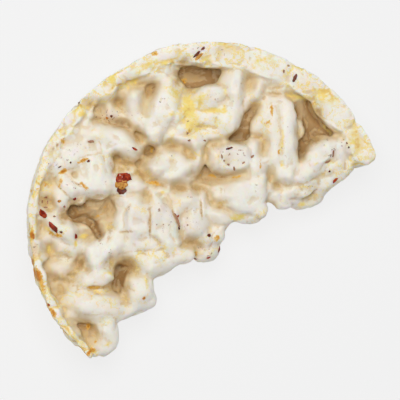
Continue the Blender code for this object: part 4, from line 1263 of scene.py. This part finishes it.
@dataclass
class PuffedBody:
    """The fused grains: one skin with flat pressed spots, creases, cracks and pockets."""

    grains: PressedGrains
    voxel: float = 0.34
    melt_rounds: int = 13
    triangle_budget: int = 188000
    wrinkles: Waves = Waves(2.6, 4, 17.0)
    wrinkle_height: float = 0.13
    folds: Waves = Waves(5.0, 1, 3.0)
    fold_width: float = 0.09
    fold_depth: float = 0.22
    press_reach: float = 0.8
    crack_depth: float = 0.35
    dip_depth: float = 2.0
    dip_spread: float = 0.9
    dip_levels: tuple[float, float] = (5.0, 8.0)
    valley_rounds: int = 5
    pocket_rounds: int = 25
    dents: Waves = Waves(5.5, 2, 29.0)
    bulges: Waves = Waves(6.5, 2, 35.0)
    sag: float = 0.6
    sag_share: float = 0.4
    rim_band: float = 5.0
    rim_fade: float = 2.5
    rim_slope: float = 0.15
    joint_wander: Waves = Waves(2.5, 1, 51.0)
    joint_breaks: Waves = Waves(9.0, 1, 63.0)
    joint_depth: float = 0.35
    joint_width: float = 0.7
    seam_breaks: Waves = Waves(7.0, 1, 77.0)
    seam_warp: tuple[Waves, Waves] = (Waves(4.0, 2, 81.0), Waves(4.0, 2, 95.0))
    seam_depth: float = 0.40
    seam_width: float = 0.75
    seam_pitch: float = 5.2
    hollow_reach: float = 9.0
    ray_count: int = 40
    least_share: float = 0.15
    # weights of the painted shade: near and broad shut-in, low pits and open pockets
    near_shade: float = 0.8
    wide_shade: float = 0.3
    wide_rounds: int = 80
    pit_shade: float = 0.35
    pocket_shade: float = 0.25
    crease_depth: float = 0.08
    patch_level: float = 6.5
    patch_warp: tuple[Waves, Waves] = (Waves(3.0, 2, 7.0), Waves(3.0, 2, 13.0))
    patch_waver: float = 0.3

    def build(self) -> bpy.types.Object:
        """Build, mark and dress the body.

        Returns:
            The body, in place in the frame.
        """
        mesh = self.fused_mesh()
        points = self.grains.mould.trim(coordinates(mesh) / MM)
        move_vertices(mesh, points * MM)
        self.relief(mesh)
        mesh.transform(Matrix.Translation(Vector(AXIS)))
        body = link("puffed_body", mesh)
        self.mark(mesh)
        mesh.shade_smooth()
        mesh.materials.append(PuffedGrainFinish().material())
        return body

    def fused_mesh(self) -> bpy.types.Mesh:
        """Fuse the heap into one outer skin and thin its faces to the budget.

        Returns:
            The skin, round the cake's axis.
        """
        heap_object = self.grains.heap().join()
        remesh = heap_object.modifiers.new("fuse", "REMESH")
        remesh.mode = "VOXEL"
        remesh.voxel_size = self.voxel * MM
        smooth = heap_object.modifiers.new("soften", "SMOOTH")
        smooth.factor = 0.5
        smooth.iterations = self.melt_rounds
        skin = evaluated(heap_object)
        bpy.data.objects.remove(heap_object)
        self.keep_outer_shell(skin)
        fused = link("fused_grains", skin)
        thin = fused.modifiers.new("thin", "DECIMATE")
        thin.ratio = min(1.0, self.triangle_budget / (2 * len(skin.polygons)))
        mesh = evaluated(fused)
        bpy.data.objects.remove(fused)
        return mesh

    def keep_outer_shell(self, mesh: bpy.types.Mesh) -> None:
        """Drop sealed voids and loose crumbs, keeping the largest connected shell.

        Args:
            mesh: The mesh to clean.
        """
        first, second = edge_ends(mesh).T
        label = np.arange(len(mesh.vertices))
        changed = True
        while changed:
            lowest = np.minimum(label[first], label[second])
            merged = label.copy()
            np.minimum.at(merged, first, lowest)
            np.minimum.at(merged, second, lowest)
            merged = merged[merged]
            changed = bool((merged != label).any())
            label = merged
        keep = label == np.bincount(label).argmax()
        shell = bmesh.new()
        shell.from_mesh(mesh)
        loose = [vert for vert, kept in zip(shell.verts, keep) if not kept]
        bmesh.ops.delete(shell, geom=loose, context="VERTS")
        shell.to_mesh(mesh)
        shell.free()

    def relief(self, mesh: bpy.types.Mesh) -> None:
        """Add folds, wrinkles, cracks, valleys, sagging faces and the rim's joints to the skin.

        Args:
            mesh: The skin, round the cake's axis; it is changed.
        """
        mould = self.grains.mould
        points = coordinates(mesh) / MM
        normals = directions(mesh)
        to_wall = mould.to_wall(points)
        folds = np.exp(-((self.folds.at(points) / self.fold_width) ** 2))
        to_mould = np.minimum.reduce((points[:, 2], mould.thickness - points[:, 2], to_wall))
        pressed = 1.0 - ramp(to_mould, 0.0, self.press_reach)
        rise = self.wrinkle_height * self.wrinkles.at(points) - self.fold_depth * folds
        rise *= 1.0 - 0.5 * pressed
        rise -= self.joint_depth * self.rim_joint(points, to_wall)
        rise -= self.crack_depth * self.patch_strength(PatchKind.CRACK, points)
        seam = self.seams(points, to_wall)
        rise -= self.seam_depth * seam
        moved = self.softened(mesh, points, to_wall) + normals * rise[:, None]
        moved = self.sagged(moved, to_wall)
        dips = self.dip_depth * self.patch_strength(PatchKind.TAN, points, self.dip_spread)
        moved[:, 2] -= dips * ramp(points[:, 2], *self.dip_levels)
        move_vertices(mesh, mould.trim(moved) * MM)
        paint_mask(mesh, "seam_mask", seam)

    def softened(self, mesh: bpy.types.Mesh, points: np.ndarray, to_wall: np.ndarray) -> np.ndarray:
        """Round off the valleys between the grains, and the open pockets most of all.

        Args:
            mesh: The skin, round the cake's axis.
            points: One row of X, Y and Z for each of its vertices, in millimetres.
            to_wall: Distance of each point from the wall.

        Returns:
            The moved points.
        """
        sunk = self.grains.mould.thickness - points[:, 2]
        inner = ramp(to_wall, 3.0, 2.0) * ramp(points[:, 2], 5.0, 2.0)
        valley = inner * ramp(sunk, 0.8, 1.5)
        pocket = inner * self.in_pocket(points)
        soft = points + (neighbour_mean(mesh, points, self.valley_rounds) - points) * valley[:, None]
        return soft + (neighbour_mean(mesh, soft, self.pocket_rounds) - soft) * pocket[:, None]

    def in_pocket(self, points: np.ndarray) -> np.ndarray:
        """Measure how far down an open pocket each point lies.

        Args:
            points: One row of X, Y and Z for each point, in millimetres from the axis.

        Returns:
            1 at the bottom of a pocket down to 0 outside them, for each point.
        """
        inside = np.zeros(len(points))
        for pocket in POCKETS:
            inside = np.maximum(inside, np.exp(-pocket.ratio(points[:, 0], points[:, 1], 1.0) ** 2))
        return inside * ramp(self.grains.mould.thickness - points[:, 2], 2.0, 3.0)

    def sagged(self, points: np.ndarray, to_wall: np.ndarray) -> np.ndarray:
        """Let the pressed top, underside and wall sag unevenly, as dry puffed grain does.

        Args:
            points: One row of X, Y and Z for each point, in millimetres from the axis.
            to_wall: Distance of each point from the wall.

        Returns:
            The moved points.
        """
        plan = points * np.array((1.0, 1.0, 0.0))
        dents = self.sag * ramp(self.dents.at(plan), -0.5, 1.0)
        height = points[:, 2] / self.grains.mould.thickness
        moved = points.copy()
        near_wall = 1.0 - ramp(to_wall, self.rim_band, self.rim_fade)
        dents += self.rim_slope * near_wall * np.clip(to_wall - 1.5, 0.0, 5.0)
        moved[:, 2] -= dents * ramp(height, 1.0 - self.sag_share, self.sag_share)
        moved[:, 2] += dents * (1.0 - ramp(height, 0.0, self.sag_share))
        bulges = self.sag * ramp(self.bulges.at(points), -0.5, 1.0)
        inward = 1.0 - bulges * near_wall / np.maximum(np.hypot(points[:, 0], points[:, 1]), 1.0)
        moved[:, :2] *= inward[:, None]
        return moved

    def on_rim(self, points: np.ndarray, to_wall: np.ndarray) -> np.ndarray:
        """Tell the wall and the rim, which is deeper in the east, from the rest of the skin.

        Args:
            points: One row of X, Y and Z for each point, in millimetres from the axis.
            to_wall: Distance of each point from the wall.

        Returns:
            1 on the rim down to 0 inside it, for each point.
        """
        joints = np.array(self.grains.rim_joints)
        depth = np.interp(bearings(points), (joints[1:] + joints[:-1]) / 2, self.grains.rim_depths)
        return ramp(depth - to_wall, -1.0, 1.5)

    def rim_joint(self, points: np.ndarray, to_wall: np.ndarray) -> np.ndarray:
        """Measure how close points lie to the joints between the rim's grains.

        Args:
            points: One row of X, Y and Z for each point, in millimetres from the axis.
            to_wall: Distance of each point from the wall.

        Returns:
            1 on a joint down to 0 away from it, for each point.
        """
        joints = np.array(self.grains.rim_joints[1:-1])
        off = np.abs(bearings(points)[:, None] - joints).min(axis=1)
        arc = np.radians(off) * self.grains.mould.radius + 0.5 * self.joint_wander.at(points)
        strength = np.clip(0.5 + 1.2 * self.joint_breaks.at(points), 0.1, 1.0)
        strength *= self.on_rim(points, to_wall) * ramp(points[:, 2], 8.0, 3.0)
        return np.exp(-((arc / self.joint_width) ** 2)) * strength

    def seams(self, points: np.ndarray, to_wall: np.ndarray) -> np.ndarray:
        """Measure how close points of the rim and wall lie to seams between squeezed grains.

        Args:
            points: One row of X, Y and Z for each point, in millimetres from the axis.
            to_wall: Distance of each point from the wall.

        Returns:
            1 on a seam down to 0 away from it, for each point.
        """
        strength = np.clip(0.55 + 1.3 * self.seam_breaks.at(points), 0.0, 1.0)
        strength *= self.on_rim(points, to_wall)
        warped = points / self.seam_pitch
        for axis, warp in enumerate(self.seam_warp):
            warped[:, axis] += 0.25 * warp.at(points)
        seam = np.zeros(len(points))
        for place in np.flatnonzero(strength > 0.02):
            nearest = noise.voronoi(Vector(warped[place]))[0]
            gap = (nearest[1] - nearest[0]) * self.seam_pitch / self.seam_width
            seam[place] = strength[place] * math.exp(-gap * gap)
        return seam

    def mark(self, mesh: bpy.types.Mesh) -> None:
        """Store the masks that the finish reads, the painted shade of hollows and creases among them.

        Args:
            mesh: The skin, in place in the frame.
        """
        points = coordinates(mesh)
        local = (points - np.array(AXIS)) / MM
        bowl = ((neighbour_mean(mesh, points, 6) - points) * directions(mesh)).sum(axis=1) / MM
        sunk = np.minimum(local[:, 2], self.grains.mould.thickness - local[:, 2])
        # painted shade: how shut in each point is, deeper low in pits and in the open pockets
        shut = self.hollowness(mesh) * (1.0 + self.pit_shade * ramp(sunk, 3.0, 4.0))
        paint_mask(mesh, "hollow_shade_mask", shut + self.pocket_shade * self.in_pocket(local))
        # painted shade in the creases, where the skin bends inwards
        paint_mask(mesh, "crease_shade_mask", ramp(bowl, 0.0, self.crease_depth))
        paint_mask(mesh, "rim_mask", self.on_rim(local, self.grains.mould.to_wall(local)))
        for kind in PatchKind:
            paint_mask(mesh, kind.value, self.patch_strength(kind, local))

    def patch_strength(self, kind: PatchKind, points: np.ndarray, spread: float = 0.1) -> np.ndarray:
        """Measure how strongly one kind of patch, a stain or the painted valley shade, marks each point.

        Args:
            kind: The kind of patch.
            points: One row of X, Y and Z for each point, in millimetres from the axis.
            spread: How far its edge fades outwards, in millimetres.

        Returns:
            0 in the clear to 1 or more in the middle of a strong patch.
        """
        east, north = (points[:, axis] + self.patch_waver * warp.at(points)
                       for axis, warp in enumerate(self.patch_warp))
        total = np.zeros(len(points))
        for stain in PATCHES[kind]:
            ratio = stain.ratio(east, north, spread)
            total = np.maximum(total, stain.strength * np.exp(-(ratio ** 1.2)))
        lowest = 0.0 if kind is PatchKind.ORANGE else self.patch_level
        return total * ramp(points[:, 2], lowest, 2.0)

    def hollowness(self, mesh: bpy.types.Mesh) -> np.ndarray:
        """Measure how shut in each vertex is by the grains round it, for the painted shade.

        Args:
            mesh: The skin, in place in the frame.

        Returns:
            0 in the open to 1 in a deep pocket.
        """
        tree = tree_of(mesh)
        golden = math.pi * (3.0 - math.sqrt(5.0))
        index = np.arange(self.ray_count)
        rise = 1.0 - 2.0 * (index + 0.5) / self.ray_count
        flat = np.sqrt(1.0 - rise ** 2)
        rays = np.column_stack((flat * np.cos(golden * index), flat * np.sin(golden * index), rise))
        points = coordinates(mesh)
        normals = directions(mesh)
        share = np.clip(normals @ rays.T, 0.0, None)
        vectors = [Vector(ray) for ray in rays]
        reach = self.hollow_reach * MM
        shut = np.zeros(len(points))
        for place, (point, normal) in enumerate(zip(points, normals)):
            start = Vector(point + normal * 0.05 * MM)
            for ray in np.flatnonzero(share[place] > self.least_share):
                hit = tree.ray_cast(start, vectors[ray], reach)
                if hit[0] is not None:
                    shut[place] += share[place, ray] * (1.0 - 0.6 * hit[3] / reach)
        shut /= np.where(share > self.least_share, share, 0.0).sum(axis=1)
        near = neighbour_mean(mesh, shut, 5)
        return self.near_shade * near + self.wide_shade * neighbour_mean(mesh, near, self.wide_rounds)


@dataclass
class HullBits:
    """Bits of seed hull of one tone, each a thin ragged scale laid on the skin."""

    tone: HullTone
    surface: BVHTree
    seed: int = 7
    thickness: float = 0.12
    tear_pitch: float = 2.2
    tear_step: float = 5.7
    raggedness: float = 0.20
    corner_cut: float = 0.3
    sag: float = 0.3
    above: float = 30.0
    beside: float = 14.0

    def build(self) -> bpy.types.Object:
        """Build and dress all the bits of this tone.

        Returns:
            The piece.
        """
        noise.seed_set(self.seed)
        bits = bmesh.new()
        for number, flake in enumerate(FLAKES):
            if flake.tone is self.tone:
                self.lay(bits, flake, number)
        name = f"hull_bits_{self.tone.value}"
        mesh = mesh_of(bits, name)
        mesh.shade_smooth()
        mesh.materials.append(HullFinish(self.tone).material())
        return link(name, mesh)

    def lay(self, bits: bmesh.types.BMesh, flake: Flake, number: int) -> None:
        """Lay one bit on the skin.

        Args:
            bits: The bmesh that takes it.
            flake: Its place, size and heading.
            number: Varies its ragged edge.
        """
        scale = bmesh.new()
        bmesh.ops.create_grid(scale, x_segments=7, y_segments=5, size=0.5)
        angle = math.radians(flake.heading)
        middle = self.drop(flake.x, flake.y)
        slack = self.sag * min(flake.length, flake.width) * MM
        for vert in scale.verts:
            u, v = vert.co.x, vert.co.y
            place = (u * self.tear_pitch, v * self.tear_pitch, number * self.tear_step)
            tear = noise.noise_vector(Vector(place))
            corner = 1.0 - self.corner_cut * (2.0 * u) ** 2 * (2.0 * v) ** 2
            along = (u * corner + tear.x * self.raggedness) * flake.length
            across = (v * corner + tear.y * self.raggedness) * flake.width
            x = flake.x + along * math.cos(angle) - across * math.sin(angle)
            y = flake.y + along * math.sin(angle) + across * math.cos(angle)
            vert.co = self.drop(x, y)
            vert.co.z = min(max(vert.co.z, middle.z - slack), middle.z + slack)
        bmesh.ops.smooth_vert(scale, verts=scale.verts, factor=0.5, use_axis_z=True)
        for vert in scale.verts:
            skin = self.drop((vert.co.x - AXIS[0]) / MM, (vert.co.y - AXIS[1]) / MM)
            vert.co.z = max(vert.co.z, min(skin.z, middle.z + slack))
        lift = Vector((0.0, 0.0, self.thickness * MM))
        bmesh.ops.translate(scale, verts=scale.verts, vec=lift * -0.5)
        raised = bmesh.ops.extrude_face_region(scale, geom=scale.faces[:])["geom"]
        top = [part for part in raised if isinstance(part, bmesh.types.BMVert)]
        bmesh.ops.translate(scale, verts=top, vec=lift * 1.5)
        bmesh.ops.recalc_face_normals(scale, faces=scale.faces[:])
        scale.verts.index_update()
        scale.faces.sort(key=lambda face: sum(2.0 ** vert.index for vert in face.verts))
        sheet = mesh_of(scale, "scale")
        bits.from_mesh(sheet)
        bpy.data.meshes.remove(sheet)

    def drop(self, x: float, y: float) -> Vector:
        """Find the skin under a place in plan, or beside it where there is none.

        Args:
            x: Place along X, in millimetres from the axis.
            y: Place along Y, in millimetres from the axis.

        Returns:
            The point on the skin, in the frame.
        """
        start = Vector(AXIS) + Vector((x, y, self.above)) * MM
        hit = self.surface.ray_cast(start, Vector((0.0, 0.0, -1.0)))
        if hit[0] is not None:
            return hit[0]
        return self.surface.find_nearest(Vector(AXIS) + Vector((x, y, self.beside)) * MM)[0]


@dataclass(frozen=True)
class Lamp:
    """A square soft light: place and side in millimetres, and strength in watts."""

    name: str
    place: tuple[float, float, float]
    side: float
    power: float


@dataclass
class Studio:
    """Pale floor, soft light and a camera that looks down on the piece."""

    floor_size: float = 3.0
    floor_grey: float = 0.12
    floor_glow: float = 0.78
    sky: float = 0.24
    lamps: tuple[Lamp, ...] = (Lamp("key_light", (-60.0, 120.0, 450.0), 350.0, 1.72),
                               Lamp("fill_light", (-320.0, -120.0, 260.0), 300.0, 0.10))
    lean: float = 7.0
    lean_bearing: float = 195.0
    view_width: float = 104.76
    lens: float = 200.0
    sensor: float = 36.0
    aim: tuple[float, float, float] = (-0.45, 0.0, 7.5)

    def build(self) -> None:
        """Build the floor, the lights and the camera."""
        bpy.context.scene.view_settings.view_transform = "Standard"
        self.add_floor()
        self.add_world()
        for lamp in self.lamps:
            self.hang(lamp)
        self.add_camera()

    def add_floor(self) -> None:
        """Lay the pale floor."""
        shape = bmesh.new()
        bmesh.ops.create_grid(shape, x_segments=2, y_segments=2, size=self.floor_size / 2)
        mesh = mesh_of(shape, "floor")
        graph = Graph("pale_floor")
        mesh.materials.append(graph.surface({
            "Base Color": graph.opaque((self.floor_grey,) * 3),
            "Roughness": 1.0,
            "Specular IOR Level": 0.0,
            "Emission Color": graph.opaque((self.floor_glow,) * 3),
            "Emission Strength": 1.0,
        }))
        link("floor", mesh)

    def add_world(self) -> None:
        """Light the scene evenly from all round."""
        world = bpy.data.worlds.new("soft_room")
        world.use_nodes = True
        background = world.node_tree.nodes["Background"]
        background.inputs["Color"].default_value = (1.0, 1.0, 1.0, 1.0)
        background.inputs["Strength"].default_value = self.sky
        bpy.context.scene.world = world

    def hang(self, lamp: Lamp) -> None:
        """Hang a light that faces the piece.

        Args:
            lamp: The light.
        """
        light = bpy.data.lights.new(lamp.name, "AREA")
        light.size = lamp.side * MM
        light.energy = lamp.power
        made = bpy.data.objects.new(lamp.name, light)
        made.location = Vector(lamp.place) * MM
        made.rotation_euler = (-made.location).to_track_quat("-Z", "Y").to_euler()
        bpy.context.scene.collection.objects.link(made)

    def add_camera(self) -> None:
        """Hang the camera nearly overhead, leaning towards the rim's toasted side."""
        data = bpy.data.cameras.new("camera")
        data.lens = self.lens
        data.sensor_width = self.sensor
        lean = math.radians(self.lean)
        east, north = polar(math.sin(lean), self.lean_bearing)
        back = Vector((east, north, math.cos(lean)))
        right = Vector((0.0, 1.0, 0.0)).cross(back).normalized()
        up = back.cross(right)
        place = Matrix((right, up, back)).transposed().to_4x4()
        distance = self.lens / self.sensor * self.view_width * MM
        place.translation = Vector(self.aim) * MM + back * distance
        camera = bpy.data.objects.new("camera", data)
        camera.matrix_world = place
        bpy.context.scene.collection.objects.link(camera)
        bpy.context.scene.camera = camera


def report(piece: bpy.types.Object) -> None:
    """Log a finished piece."""
    LOG.info("%s: %d faces", piece.name, len(piece.data.polygons))


def main() -> None:
    """Build the studio, the body and the bits of hull, and hand them to the frame."""
    logging.basicConfig(level=logging.INFO)
    Studio().build()
    body = PuffedBody(PressedGrains(Mould())).build()
    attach(body, "root")
    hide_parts(CAD_NODE)
    report(body)
    surface = tree_of(body.data)
    for tone in HullTone:
        bits = HullBits(tone, surface).build()
        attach(bits, "root")
        report(bits)


if __name__ == "__main__":
    main()
